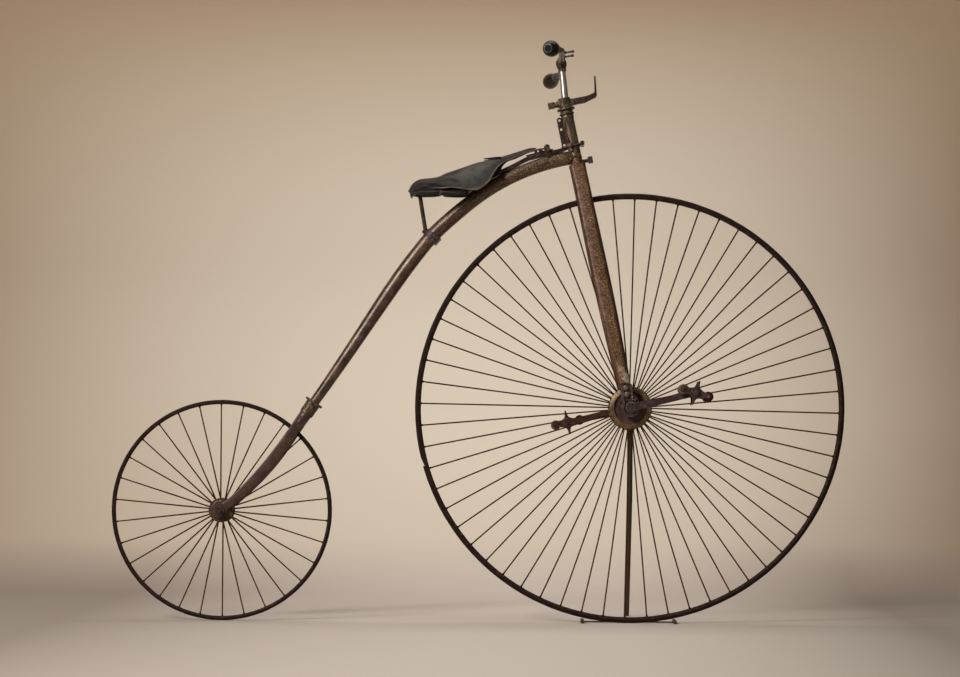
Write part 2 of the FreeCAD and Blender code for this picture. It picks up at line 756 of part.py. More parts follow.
def make_saddle():
    thickness = 4.5
    rings = []
    for x, half, crown, edge in saddle_table:
        inner_half = half - thickness
        left = Vector(x, half, edge)
        right = Vector(x, -half, edge)
        inner_left = Vector(x, inner_half, edge)
        inner_right = Vector(x, -inner_half, edge)
        rings.append(Part.Wire([
            Part.Arc(left, Vector(x, 0, crown), right).toShape(),
            Part.LineSegment(right, inner_right).toShape(),
            Part.Arc(inner_right, Vector(x, 0, crown - thickness), inner_left).toShape(),
            Part.LineSegment(inner_left, left).toShape(),
        ]))
    nodes["saddle"] = Part.makeLoft(rings, True, False)
    rails = []
    for side in sides.values():
        rail = round_bar([
            Vector(-8, side * 12, 1247), Vector(-40, side * 46, 1232),
            Vector(-150, side * 56, 1219), Vector(-186, side * 20, 1219),
        ], 22.0, 4.0)
        rails.append(rail)
    cantle = round_bar([
        Vector(-186, -20, 1219), Vector(-194, 0, 1219), Vector(-186, 20, 1219),
    ], 20.0, 4.0)
    nodes["saddle_rails"] = cut(fused(rails + [cantle]), nodes["saddle_spring"])
    stay_top = Vector(-171.0, 0, 1212.0)
    stay_foot = Vector(-154.5, 0, 1112.7)
    stay = fused([
        rod(stay_top, stay_foot, 5.8),
        block(Vector(-171.5, 0, 1209.0), 20.0, 20.0, 8.0),
    ])
    clamp_centre = Vector(-136.0, 0, 1092.6)
    along = Vector(-76.4, 0, -90.0).normalize()
    outward = along.cross(y_axis)
    if outward.x < 0:
        outward = outward * -1
    band = rod(clamp_centre - along * 10.5, clamp_centre + along * 10.5, 22.6)
    lug_corners = []
    for a, b in ((-12, -3), (12, -3), (12, 24.5), (-12, 24.5)):
        corner = clamp_centre + along * a + outward * b
        lug_corners.append((corner.x, corner.z))
    lug = plate(lug_corners, -23.5, 23.5)
    bolt = across(clamp_centre + outward * 11, 4.0, -26.0, 26.0)
    seat = rod(clamp_centre - outward * 30, clamp_centre - outward * 15, 9.0)
    clamp = cut(fused([band, lug, bolt, seat]), nodes["backbone"])
    nodes["stay_clamp"] = clamp
    nodes["saddle_stay"] = cut(stay, nodes["saddle_spring"], band, seat)


make_front_wheel()
make_cranks()
make_rear_wheel()
make_fork()
make_head()
make_handlebar()
make_stand()
make_backbone()
make_neck()
make_rear_fork()
make_spring()
make_saddle()

os.makedirs("parts", exist_ok=True)
for node_name, node_shape in nodes.items():
    node_shape.exportStep("parts/" + node_name + ".step")
    solids = len(node_shape.Solids)
    valid = node_shape.isValid()
    print(node_name, "solids", solids, "volume", round(node_shape.Volume / 1000, 2), "cm3", valid)
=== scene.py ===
import bmesh
import bpy
import json
import math
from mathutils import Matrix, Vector


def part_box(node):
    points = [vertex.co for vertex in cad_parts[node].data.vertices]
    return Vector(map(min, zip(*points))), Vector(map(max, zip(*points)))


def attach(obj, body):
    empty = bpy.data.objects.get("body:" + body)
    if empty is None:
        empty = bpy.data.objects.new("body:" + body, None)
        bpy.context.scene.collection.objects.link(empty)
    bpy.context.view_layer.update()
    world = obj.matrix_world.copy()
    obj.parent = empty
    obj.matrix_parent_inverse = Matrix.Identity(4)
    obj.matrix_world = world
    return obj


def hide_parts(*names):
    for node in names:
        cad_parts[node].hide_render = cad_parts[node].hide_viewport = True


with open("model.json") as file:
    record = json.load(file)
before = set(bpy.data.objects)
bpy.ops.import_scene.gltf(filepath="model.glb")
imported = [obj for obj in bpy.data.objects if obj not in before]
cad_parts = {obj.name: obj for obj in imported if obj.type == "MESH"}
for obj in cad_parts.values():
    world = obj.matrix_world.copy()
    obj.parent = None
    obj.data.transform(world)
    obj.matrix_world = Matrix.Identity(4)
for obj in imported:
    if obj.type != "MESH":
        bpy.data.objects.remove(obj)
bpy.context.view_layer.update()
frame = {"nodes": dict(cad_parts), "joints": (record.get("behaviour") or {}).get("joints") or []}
cadNodes = frame["nodes"]
swivel = next(joint for joint in frame["joints"] if joint["name"] == "steering_swivel")
print("frame loaded,", len(cadNodes), "nodes")


def middleOf(node):                             # in millimetres
    low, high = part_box(node)
    return (low + high) / 2 * 1000


hubAt = middleOf("front_tyre")
rearAt = middleOf("rear_tyre")
crownTop = Vector(swivel["pos_m"])
headUp = Vector(swivel["axis"]).normalized()
headFront = Vector((headUp.z, 0, -headUp.x))


def onHead(forward, side, up):                  # millimetres from the crown's top, along the leaning head
    return crownTop * 1000 + headFront * forward + Vector((0, side, 0)) + headUp * up


def paint(shade):                               # red, green and blue as they look on screen, 0 to 255
    parts = [value / 255 for value in shade]
    return (*[part / 12.92 if part <= 0.04045 else ((part + 0.055) / 1.055) ** 2.4 for part in parts], 1.0)


# Shader helpers: each adds to the material being made and gives back its output

making = {"material": None, "tree": None, "colour": None}


def addNode(kind, feeds=None, **settings):
    made = making["tree"].nodes.new("ShaderNode" + kind)
    for key, value in settings.items():
        setattr(made, key, value)
    for key, value in (feeds or {}).items():
        if isinstance(value, bpy.types.NodeSocket):
            making["tree"].links.new(value, made.inputs[key])
        else:
            made.inputs[key].default_value = value
    return made


def objectSpace(stretch=(1, 1, 1), shift=(0, 0, 0)):
    place = addNode("TexCoord").outputs["Object"]
    return addNode("Mapping", {"Vector": place, "Scale": stretch, "Location": shift}).outputs[0]


def partOf(place, axis):
    return addNode("SeparateXYZ", {0: place}).outputs[axis]


def noise(place, scale, detail=5.0, rough=0.6, twist=0.0):
    feeds = {"Vector": place, "Scale": scale, "Detail": detail, "Roughness": rough, "Distortion": twist}
    return addNode("TexNoise", feeds).outputs[0]


def cells(place, scale, feature="F1"):
    return addNode("TexVoronoi", {"Vector": place, "Scale": scale}, feature=feature).outputs["Distance"]


def spread(value, low, high, newLow=0.0, newHigh=1.0):
    feeds = {"Value": value, "From Min": low, "From Max": high, "To Min": newLow, "To Max": newHigh}
    return addNode("MapRange", feeds).outputs[0]


def combine(first, second, how="ADD"):
    return addNode("Math", {0: first, 1: second}, operation=how).outputs[0]


def times(first, second):
    return combine(first, second, "MULTIPLY")


def less(first, second):
    return combine(first, second, "SUBTRACT")


def blend(amount, first, second, mode="MIX"):
    return addNode("Mix", {0: amount, 6: first, 7: second}, data_type="RGBA", blend_type=mode).outputs[2]


def underCoat(amount, deep, main):
    making["colour"] = blend(amount, paint(deep), paint(main))


def coat(amount, shade):
    making["colour"] = blend(amount, making["colour"], paint(shade))


def crumbCoat(place, amount, scale):            # each small crumb a little lighter or darker
    crumbs = addNode("TexVoronoi", {"Vector": place, "Scale": scale}).outputs["Color"]
    tone = spread(addNode("SeparateColor", {0: crumbs}).outputs[0], 0, 1, 1 - amount, 1 + amount)
    making["colour"] = blend(1.0, making["colour"], tone, "MULTIPLY")


def startMaterial(name):
    material = bpy.data.materials.new(name)
    material.use_nodes = True
    material.node_tree.nodes.clear()
    making.update(material=material, tree=material.node_tree)


def closeMaterial(roughness, metal, height=None, bump=0.0, shine=0.5):
    feeds = {"Base Color": making["colour"], "Roughness": roughness, "Metallic": metal, "Specular IOR Level": shine}
    if height is not None:
        feeds["Normal"] = addNode("Bump", {"Height": height, "Strength": 1.0, "Distance": bump}).outputs[0]
    shader = addNode("BsdfPrincipled", feeds)
    addNode("OutputMaterial", {"Surface": shader.outputs[0]})
    return making["material"]


# Old metal: a base coat with broad clouds, patches of another colour, fine specks and pits

speckShift = (0.7, 5.3, 2.2)
pitShift = (9.0, 0.3, 4.4)
dustShade = (142, 126, 92)


def oldMetal(name, look):
    look = {**plainMetal, **look}
    startMaterial(name)
    stretch = look.get("stretch", (1, 1, 1))
    place = objectSpace(stretch)
    deep, main, scale = look["clouds"]
    clouds = noise(place, scale, 6, 0.62)
    underCoat(spread(clouds, 0.36, 0.62), deep, main)
    shade, scale, start, amount = look["patches"]
    patches = noise(objectSpace(stretch, (3.1, 1.7, 0.4)), scale, 7, 0.68)
    coat(spread(patches, start, start + 0.08, 0, amount), shade)
    shade, scale, start, amount = look["specks"]
    specks = noise(objectSpace(shift=speckShift), scale, 3, 0.7)
    coat(spread(specks, start, start + 0.05, 0, amount), shade)
    crumbCoat(place, *look["grain"])
    dark, amount = look["pits"]
    pits = noise(objectSpace(shift=pitShift), scale * 0.8, 2, 0.6)
    pitMask = spread(pits, 0.57, 0.65, 0, amount)
    coat(pitMask, dark)
    if look["dust"]:
        facing = partOf(addNode("NewGeometry").outputs["Normal"], "Z")
        coat(times(spread(facing, 0.25, 0.95, 0, look["dust"]), spread(clouds, 0.35, 0.6, 0.5, 1)), dustShade)
        # Painted shade: faces turned down are darkened with the pit colour whenever the dust switch is on
        coat(spread(facing, -0.35, -0.95, 0, 0.6), dark)
    height = less(noise(place, scale * 0.5, 6, 0.7), pitMask)
    roughness = spread(patches, 0.3, 0.7, *look["rough"])
    return closeMaterial(roughness, spread(clouds, 0.35, 0.65, *look["metal"]), height, look["bump"], look["shine"])


plainMetal = {"grain": (0.25, 420), "dust": 0.0, "shine": 0.5}
metalLooks = {
    # clouds: deep and main colour, scale; patches and specks: colour, scale, where they start, amount; pits: colour,
    # amount; grain: amount, scale; roughness and metal: lowest and highest
    "rusted_steel": {
        "clouds": ((58, 35, 26), (106, 74, 60), 30), "patches": ((120, 102, 68), 85, 0.53, 0.7),
        "specks": ((212, 168, 112), 270, 0.585, 0.75), "pits": ((26, 13, 8), 0.9), "grain": (0.5, 270), "dust": 0.55,
        "rough": (0.34, 0.54), "metal": (0.3, 0.6), "bump": 0.0014,
    },
    "dark_steel": {
        "clouds": ((36, 22, 17), (68, 45, 36), 24), "patches": ((84, 64, 64), 70, 0.54, 0.75),
        "specks": ((150, 116, 86), 280, 0.6, 0.6), "pits": ((18, 10, 8), 0.75), "grain": (0.4, 280), "dust": 0.2,
        "rough": (0.32, 0.52), "metal": (0.3, 0.6), "bump": 0.0009,
    },
    "crank_steel": {
        "clouds": ((44, 28, 25), (68, 46, 42), 16), "patches": ((80, 60, 62), 60, 0.5, 0.7),
        "specks": ((130, 96, 74), 240, 0.62, 0.5), "pits": ((30, 18, 15), 0.5), "grain": (0.22, 420), "dust": 0.1,
        "rough": (0.4, 0.6), "metal": (0.1, 0.35), "bump": 0.0005, "shine": 0.4,
    },
    "blade_steel": {
        "clouds": ((50, 32, 26), (84, 58, 45), 22), "patches": ((92, 70, 56), 50, 0.53, 0.5),
        "specks": ((140, 108, 78), 280, 0.6, 0.35), "pits": ((20, 11, 9), 0.45), "grain": (0.2, 280), "dust": 0.05,
        "rough": (0.32, 0.5), "metal": (0.25, 0.5), "bump": 0.0004,
    },
    "dark_brass": {
        "clouds": ((44, 32, 24), (92, 72, 50), 34), "patches": ((74, 56, 48), 60, 0.5, 0.7),
        "specks": ((128, 110, 80), 220, 0.6, 0.5), "pits": ((24, 15, 11), 0.8),
        "rough": (0.34, 0.55), "metal": (0.35, 0.6), "bump": 0.0006, "shine": 0.45,
    },
    "maroon_steel": {
        "clouds": ((52, 30, 27), (88, 58, 52), 30), "patches": ((86, 64, 60), 60, 0.5, 0.6),
        "specks": ((140, 100, 70), 240, 0.62, 0.4), "pits": ((30, 16, 14), 0.6),
        "rough": (0.4, 0.6), "metal": (0.1, 0.3), "bump": 0.0005, "shine": 0.4,
    },
    "copper_rust": {
        "clouds": ((104, 56, 28), (180, 108, 56), 90), "patches": ((128, 76, 44), 160, 0.54, 0.5),
        "specks": ((196, 150, 96), 300, 0.62, 0.4), "pits": ((60, 30, 18), 0.5), "grain": (0.2, 420),
        "rough": (0.45, 0.6), "metal": (0.1, 0.3), "bump": 0.0003, "shine": 0.4,
    },
    "bolt_steel": {
        "clouds": ((84, 68, 62), (140, 118, 108), 60), "patches": ((104, 84, 76), 120, 0.54, 0.6),
        "specks": ((176, 158, 138), 300, 0.6, 0.5), "pits": ((40, 26, 22), 0.7),
        "rough": (0.34, 0.5), "metal": (0.2, 0.4), "bump": 0.0004,
    },
    "edge_steel": {
        "clouds": ((64, 50, 48), (108, 93, 88), 30), "patches": ((84, 78, 66), 80, 0.52, 0.6),
        "specks": ((168, 150, 128), 260, 0.6, 0.6), "pits": ((34, 22, 18), 0.8), "grain": (0.3, 420), "dust": 0.1,
        "rough": (0.3, 0.5), "metal": (0.3, 0.6), "bump": 0.0007,
    },
    "hub_brass": {
        "clouds": ((80, 61, 40), (142, 117, 83), 20), "patches": ((98, 57, 36), 34, 0.54, 0.75),
        "specks": ((100, 104, 76), 200, 0.58, 0.6), "pits": ((40, 25, 16), 0.8),
        "rough": (0.34, 0.58), "metal": (0.35, 0.65), "bump": 0.0006, "shine": 0.45,
    },
    "rusted_rim": {
        "clouds": ((30, 16, 11), (50, 30, 22), 20), "patches": ((70, 48, 42), 50, 0.54, 0.7),
        "specks": ((104, 76, 52), 220, 0.6, 0.5), "pits": ((20, 12, 9), 0.6), "grain": (0.3, 420),
        "rough": (0.6, 0.8), "metal": (0.0, 0.1), "bump": 0.0005, "shine": 0.15,
    },
    "spoke_wire": {
        "clouds": ((46, 27, 9), (84, 51, 19), 12), "patches": ((88, 56, 26), 60, 0.56, 0.6),
        "specks": ((98, 66, 38), 400, 0.6, 0.5), "pits": ((20, 12, 8), 0.5), "grain": (0.2, 420),
        "rough": (0.85, 0.95), "metal": (0.0, 0.0), "bump": 0.0002, "shine": 0.0,
    },
    "olive_steel": {
        "clouds": ((46, 32, 20), (88, 68, 48), 44), "patches": ((112, 100, 70), 110, 0.52, 0.8),
        "specks": ((170, 148, 108), 300, 0.59, 0.7), "pits": ((22, 13, 8), 0.9), "grain": (0.5, 280), "dust": 0.3,
        "rough": (0.34, 0.54), "metal": (0.3, 0.6), "bump": 0.0011,
    },
    "neck_steel": {
        "clouds": ((54, 38, 24), (106, 84, 62), 70), "patches": ((110, 104, 78), 120, 0.53, 0.75),
        "specks": ((186, 160, 124), 300, 0.6, 0.6), "pits": ((28, 17, 11), 0.85), "grain": (0.4, 280), "dust": 0.2,
        "rough": (0.3, 0.48), "metal": (0.3, 0.6), "bump": 0.0006, "shine": 0.6, "stretch": (1, 1, 0.22),
    },
    "grey_steel": {
        "clouds": ((64, 58, 60), (112, 106, 110), 36), "patches": ((84, 66, 56), 70, 0.54, 0.7),
        "specks": ((160, 150, 146), 280, 0.6, 0.5), "pits": ((34, 24, 22), 0.7), "grain": (0.25, 300),
        "rough": (0.3, 0.46), "metal": (0.6, 0.85), "bump": 0.0004,
    },
    "ring_metal": {
        "clouds": ((60, 60, 58), (108, 112, 110), 40), "patches": ((84, 104, 76), 90, 0.5, 0.6),
        "specks": ((150, 146, 130), 300, 0.6, 0.5), "pits": ((36, 30, 22), 0.6),
        "rough": (0.35, 0.55), "metal": (0.5, 0.8), "bump": 0.0003,
    },
}

# Metres across the fork leg from its middle line, forward positive, where its painted sheen starts, and heights of its
# pale patch

legLook = {"left": -0.0175, "low": 0.690, "high": 0.738, "slant": 1.1}


def makeLegSteel(name):
    # Rust brown, a painted sheen of purple-grey down the back half, gold flecks down the front half, painted shade
    # darkening both edges, and a pale patch low down
    startMaterial(name)
    place = objectSpace()
    shifted = addNode("VectorMath", {0: place, 1: tuple(crownTop)}, operation="SUBTRACT").outputs[0]
    across = addNode("VectorMath", {0: shifted, 1: tuple(headFront)}, operation="DOT_PRODUCT").outputs["Value"]
    across = combine(across, spread(noise(objectSpace((1, 1, 0.35)), 34, 4, 0.6), 0.3, 0.7, -0.004, 0.004))
    height = partOf(place, "Z")
    clouds = noise(place, 26, 6, 0.64)
    underCoat(spread(clouds, 0.36, 0.62), (83, 51, 36), (124, 85, 64))
    # Painted sheen: purple-grey across the back half of the blade, stronger higher up
    greyed = times(spread(across, legLook["left"], legLook["left"] + 0.006), spread(across, -0.004, 0.004, 1, 0))
    greyed = times(greyed, spread(noise(objectSpace((1, 1, 0.4), (0.6, 0.2, 0.9)), 22, 5), 0.36, 0.6, 0.15, 0.95))
    coat(times(greyed, spread(height, 0.80, 1.0, 0.15, 1)), (122, 100, 96))
    golden = times(spread(across, -0.007, 0.001, 0.25, 1), spread(across, 0.011, 0.0165, 1, 0.3))
    coat(times(golden, 0.62), (106, 80, 46))
    flecks = times(spread(noise(objectSpace(shift=speckShift), 300, 3, 0.75), 0.56, 0.61), golden)
    coat(times(flecks, 0.9), (216, 178, 120))
    coat(spread(noise(objectSpace(shift=pitShift), 230, 3, 0.65), 0.56, 0.63, 0, 0.8), (30, 16, 10))
    # Painted shade: both edges of the blade darkened where it curves away
    edges = spread(across, -0.0165, -0.0195, 0, 0.75), spread(across, 0.014, 0.0185, 0, 0.75)
    coat(combine(*edges, "MAXIMUM"), (44, 26, 20))
    slanted = combine(height, times(across, legLook["slant"]))
    patch = times(spread(slanted, legLook["low"], legLook["low"] + 0.008),
                  spread(slanted, legLook["high"], legLook["high"] - 0.016))
    patch = times(patch, spread(across, -0.008, -0.003))
    patch = times(patch, spread(noise(objectSpace(shift=(4.4, 0.1, 7.7)), 90, 5, 0.7), 0.40, 0.47))
    coat(times(patch, 0.88), (170, 153, 128))
    coat(times(spread(height, 0.82, 0.72, 0, 0.85), spread(across, -0.002, -0.008)), (92, 53, 27))
    crumbCoat(place, 0.4, 280)
    relief = combine(noise(place, 200, 5, 0.65), flecks)
    return closeMaterial(spread(clouds, 0.3, 0.7, 0.34, 0.5), 0.35, relief, 0.0007)


def makeTubeSteel(name):
    # Smooth dark brown, olive and gold up on the bend, purple-grey further down
    startMaterial(name)
    place = objectSpace()
    height = partOf(place, "Z")
    clouds = noise(place, 20, 6, 0.62)
    underCoat(spread(clouds, 0.36, 0.64), (46, 28, 19), (92, 62, 46))
    olive = spread(noise(objectSpace(shift=(3.1, 0.6, 1.4)), 34, 5, 0.66), 0.52, 0.6, 0, 0.55)
    coat(times(olive, spread(height, 0.62, 0.95, 0.25, 1)), (98, 82, 52))
    greyed = spread(noise(objectSpace(shift=(0.4, 2.7, 5.2)), 30, 5, 0.66), 0.5, 0.62, 0, 0.85)
    coat(times(greyed, spread(height, 1.05, 0.75, 0.2, 1)), (106, 85, 72))
    flecks = spread(noise(objectSpace(shift=speckShift), 300, 3, 0.75), 0.56, 0.61)
    coat(times(flecks, spread(height, 1.0, 1.2, 0.1, 0.6)), (212, 176, 118))
    coat(spread(noise(objectSpace(shift=pitShift), 230, 3, 0.65), 0.57, 0.64, 0, 0.75), (28, 15, 10))
    crumbCoat(place, 0.22, 300)
    return closeMaterial(spread(clouds, 0.3, 0.7, 0.32, 0.44), 0.3, noise(place, 160, 5, 0.62), 0.0005, 0.7)


def makeRubber(name, dark, dust):
    startMaterial(name)
    place = objectSpace()
    dusty = noise(place, 26, 7, 0.7)
    underCoat(spread(dusty, 0.42, 0.7), dark, dust)
    cracks = spread(cells(objectSpace(shift=(0.2, 0.1, 0)), 260, "DISTANCE_TO_EDGE"), 0.0, 0.05, 1, 0)
    coat(times(cracks, 0.5), (12, 8, 6))
    height = less(noise(place, 340, 4, 0.6), cracks)
    return closeMaterial(spread(dusty, 0.3, 0.7, 0.5, 0.75), 0.0, height, 0.0004, 0.16)


def makeBrightSteel(name):
    startMaterial(name)
    place = objectSpace((1, 1, 0.25))
    tarnish = noise(place, 60, 6, 0.65)
    underCoat(spread(tarnish, 0.52, 0.68), (192, 182, 172), (112, 84, 62))
    return closeMaterial(spread(tarnish, 0.4, 0.7, 0.34, 0.5), 0.95, noise(place, 400, 3), 0.00012)


def makeHorn(name, deep, pale):
    startMaterial(name)
    grain = noise(objectSpace((1, 0.25, 1)), 90, 7, 0.6, 0.8)
    underCoat(spread(grain, 0.45, 0.7), deep, pale)
    return closeMaterial(spread(grain, 0.3, 0.7, 0.22, 0.42), 0.0, grain, 0.0003, 0.35)


def makeStandPaint(name):
    startMaterial(name)
    place = objectSpace()
    underCoat(spread(noise(place, 120, 6, 0.7), 0.62, 0.68), (68, 54, 38), (96, 76, 54))
    roughness = spread(noise(place, 40), 0.3, 0.7, 0.34, 0.56)
    return closeMaterial(roughness, 0.0, noise(place, 260, 3), 0.00025, 0.25)


# light scales every shade of the hide: below one gives a copy darkened as painted shade, above one a copy lightened as
# painted highlight
def makeHide(name, light):
    startMaterial(name)
    place = objectSpace()

    def tone(*shade):
        return [min(255, value * light) for value in shade]

    def painted(layer):
        return addNode("Attribute", attribute_name=layer).outputs["Fac"]

    clouds = noise(place, 22, 7, 0.66)
    underCoat(spread(clouds, 0.38, 0.62), tone(30, 27, 24), tone(60, 54, 47))
    # Painted sheen: the middle of each flap lightened where it bulges
    coat(times(times(painted("paintedSheen"), spread(clouds, 0.3, 0.62, 0.45, 1)), 0.9), tone(90, 84, 78))
    brown = spread(noise(objectSpace(shift=(2.0, 0.4, 1.1)), 9, 5, 0.62), 0.42, 0.6, 0.35, 1.0)
    length = partOf(place, "X")
    ends = combine(spread(length, -0.04, -0.13, 0, 0.95), spread(length, 0.05, 0.1, 0, 0.95))
    coat(times(brown, ends), tone(46, 29, 24))
    scuffs = noise(objectSpace((1, 1, 3), (0.3, 2.2, 0.8)), 70, 7, 0.72)
    coat(spread(scuffs, 0.57, 0.68, 0, 0.5), tone(104, 92, 82))
    stains = noise(objectSpace(shift=(1.3, 0.2, 4.8)), 46, 6, 0.7)
    coat(spread(stains, 0.53, 0.62, 0, 0.65), tone(24, 20, 18))
    pits = times(spread(cells(place, 210), 0.1, 0.2, 1, 0), spread(noise(place, 30, 2), 0.52, 0.6))
    coat(times(pits, 0.75), tone(28, 24, 22))
    # Painted shade: the creases darkened by their depth
    coat(times(painted("creaseShade"), 0.92), tone(14, 9, 8))
    coat(spread(painted("wear"), 0.15, 0.9, 0, 0.85), tone(116, 102, 91))
    grain = combine(cells(place, 900, "DISTANCE_TO_EDGE"), noise(place, 55, 6, 0.66))
    return closeMaterial(spread(clouds, 0.3, 0.7, 0.36, 0.6), 0.0, less(grain, times(pits, 0.8)), 0.0011, 0.32)


finishes = {name: oldMetal(name + "_old", look) for name, look in metalLooks.items()}
finishes.update({
    "blackened_rubber": makeRubber("tyreRubber", (26, 13, 7), (47, 31, 24)),
    "pedal_rubber": makeRubber("pedalRubber", (84, 66, 48), (128, 106, 82)),
    "bright_steel": makeBrightSteel("postSteel"),
    "horn": makeHorn("gripHorn", (10, 6, 6), (28, 18, 14)),
    "stand_black": makeStandPaint("standPaint"),
    "legSteel": makeLegSteel("legSteel"),
    "tubeSteel": makeTubeSteel("tubeSteel"),
    "brownHorn": makeHorn("farGripHorn", (24, 15, 11), (58, 38, 27)),
    "darkRubber": makeRubber("darkPedalRubber", (22, 14, 12), (48, 34, 26)),
    "leather": makeHide("saddleLeather", 0.9),
    # A copy darkened as painted shade for under the saddle, and a copy lightened as a painted highlight for the rim
    "underHide": makeHide("underLeather", 0.28),
    "wornHide": makeHide("rimLeather", 2.1),
})

nodeSlots = {}
nodeFinish = {"fork_leg_right": "legSteel", "fork_leg_left": "legSteel", "backbone": "tubeSteel"}
for name, piece in cadNodes.items():
    for used in piece.material_slots:
        nodeSlots[name] = used.material.name
        used.material = finishes[nodeFinish.get(name, used.material.name)]
print("finishes made:", len(finishes))


# Shape helpers: everything is modelled in millimetres in the row frame

def newShape():
    return {"points": [], "faces": [], "kinds": []}


def addRings(shape, rings, closed=False, caps=True, kind=0):
    base = len(shape["points"])
    count = len(rings[0])
    for ring in rings:
        shape["points"] += [tuple(point) for point in ring]
    spans = len(rings) if closed else len(rings) - 1
    kindAt = kind if callable(kind) else lambda i: kind
    for i in range(spans):
        a = base + i * count
        b = base + (i + 1) % len(rings) * count
        for j in range(count):
            k = (j + 1) % count
            shape["faces"].append((a + j, a + k, b + k, b + j))
            shape["kinds"].append(kindAt(i))
    if caps and not closed:
        last = base + (len(rings) - 1) * count
        shape["faces"] += [tuple(range(base, base + count))[::-1], tuple(range(last, last + count))]
        shape["kinds"] += [kindAt(0), kindAt(spans - 1)]


def crossAxes(axis):
    axis = Vector(axis).normalized()
    helper = Vector((0, 1, 0)) if abs(axis.y) < 0.9 else Vector((1, 0, 0))
    u = helper.cross(axis).normalized()
    return axis, u, axis.cross(u)


def circle(centre, u, v, radius, sides, start=0.0):
    angles = [start + 2 * math.pi * i / sides for i in range(sides)]
    return [centre + (u * math.cos(a) + v * math.sin(a)) * radius for a in angles]


# A profile is rows of distance along the axis and radius
def addTurned(shape, centre, axis, profile, sides=40, closed=False, kind=0):
    axis, u, v = crossAxes(axis)
    rings = [circle(Vector(centre) + axis * along, u, v, max(radius, 0.01), sides) for along, radius in profile]
    addRings(shape, rings, closed, not closed, kind)


def addTube(shape, points, radius, sides=16, kind=0):
    points = [Vector(point) for point in points]
    radii = radius if isinstance(radius, list) else [radius] * len(points)
    rings = []
    u = None
    for i, point in enumerate(points):
        along = (points[min(i + 1, len(points) - 1)] - points[max(i - 1, 0)]).normalized()
        if u is None:
            u = crossAxes(along)[1]
        u = (u - along * u.dot(along)).normalized()
        rings.append(circle(point, u, along.cross(u), radii[i], sides))
    addRings(shape, rings, kind=kind)


def addPrism(shape, corners, offset, kind=0):
    corners = [Vector(corner) for corner in corners]
    addRings(shape, [corners, [corner + Vector(offset) for corner in corners]], kind=kind)


def addPlate(shape, corners, y0, y1, kind=0):
    addPrism(shape, [(x, y0, z) for x, z in corners], (0, y1 - y0, 0), kind)


def addBlock(shape, centre, along, across, length, width, height):
    along = Vector(along).normalized()
    across = Vector(across).normalized()
    up = along.cross(across)
    centre = Vector(centre) - up * height / 2
    signs = ((-1, -1), (1, -1), (1, 1), (-1, 1))
    addPrism(shape, [centre + along * length / 2 * a + across * width / 2 * b for a, b in signs], up * height)


def addNut(shape, centre, axis, flats, height, sides, turn):
    axis, u, v = crossAxes(axis)
    corner = flats / 2 / math.cos(math.pi / sides)
    rings = []
    for part, share in ((0, 0.93), (0.1, 1), (0.88, 1), (1, 0.9)):      # edges a little rounded
        rings.append(circle(Vector(centre) + axis * (height * part), u, v, corner * share, sides, math.radians(turn)))
    addRings(shape, rings)


def arc(x, z, radius, start, end, steps):
    angles = [math.radians(start + (end - start) * i / steps) for i in range(steps + 1)]
    return [(x + radius * math.cos(a), z + radius * math.sin(a)) for a in angles]


def smoothLine(points, steps):                  # a curve through every point
    points = [Vector(point) for point in points]
    line = []
    for i in range(len(points) - 1):
        a, b = points[max(i - 1, 0)], points[i]
        c, d = points[i + 1], points[min(i + 2, len(points) - 1)]
        for step in range(steps):
            t = step / steps
            curved = (2 * a - 5 * b + 4 * c - d) * t * t + (3 * b - a - 3 * c + d) * t ** 3
            line.append(0.5 * (2 * b + (c - a) * t + curved))
    return line + [points[-1]]


def mirrored(half, shared=1):                   # a profile out to both sides, its first shared points single
    return [(-out, radius) for out, radius in half[shared:][::-1]] + half


def between(table, x):                          # straight-line lookup in rows of x and value
    if x <= table[0][0]:
        return table[0][1]
    for (x0, a), (x1, b) in zip(table, table[1:]):
        if x <= x1:
            return a + (b - a) * (x - x0) / (x1 - x0)
    return table[-1][1]


def placePiece(name, mesh, sharp, bevel, body, replaces):
    mesh.shade_smooth()
    mesh.set_sharp_from_angle(angle=math.radians(sharp))
    piece = bpy.data.objects.new(name, mesh)
    bpy.context.scene.collection.objects.link(piece)
    if bevel:
        edge = piece.modifiers.new("edges", "BEVEL")
        edge.width = bevel / 1000
        edge.segments = 2
        edge.limit_method = "ANGLE"
        edge.angle_limit = math.radians(sharp)
        edge.harden_normals = True
    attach(piece, body)
    if replaces:
        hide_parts(*replaces)
    return piece


def makePiece(name, shape, finish, body, replaces=(), sharp=38, bevel=0.0):
    mesh = bpy.data.meshes.new(name)
    mesh.from_pydata([tuple(value / 1000 for value in point) for point in shape["points"]], [], shape["faces"])
    kinds = finish if isinstance(finish, list) else [finish]
    for kind in kinds:
        mesh.materials.append(finishes[kind])
    mesh.polygons.foreach_set("material_index", shape["kinds"])
    work = bmesh.new()
    work.from_mesh(mesh)
    bmesh.ops.recalc_face_normals(work, faces=work.faces)
    work.to_mesh(mesh)
    work.free()
    return placePiece(name, mesh, sharp, bevel, body, replaces)


# Tyres: a solid round band, cut and butted at one place

tyres = {
    "frontTyre": {
        "node": "front_tyre", "body": "front_wheel", "centre": hubAt, "section": 7.5, "steps": 480,
        "joint": 196.05, "taper": 2.15, "sunk": 4.3,
    },
    "rearTyre": {
        "node": "rear_tyre", "body": "rear_wheel", "centre": rearAt, "section": 5.5, "steps": 300,
        "joint": 250.0, "taper": 1.6, "sunk": 0.8,
    },
}
tyreTurn = 359.96                               # degrees from one cut end to the other
tyreSides = 18


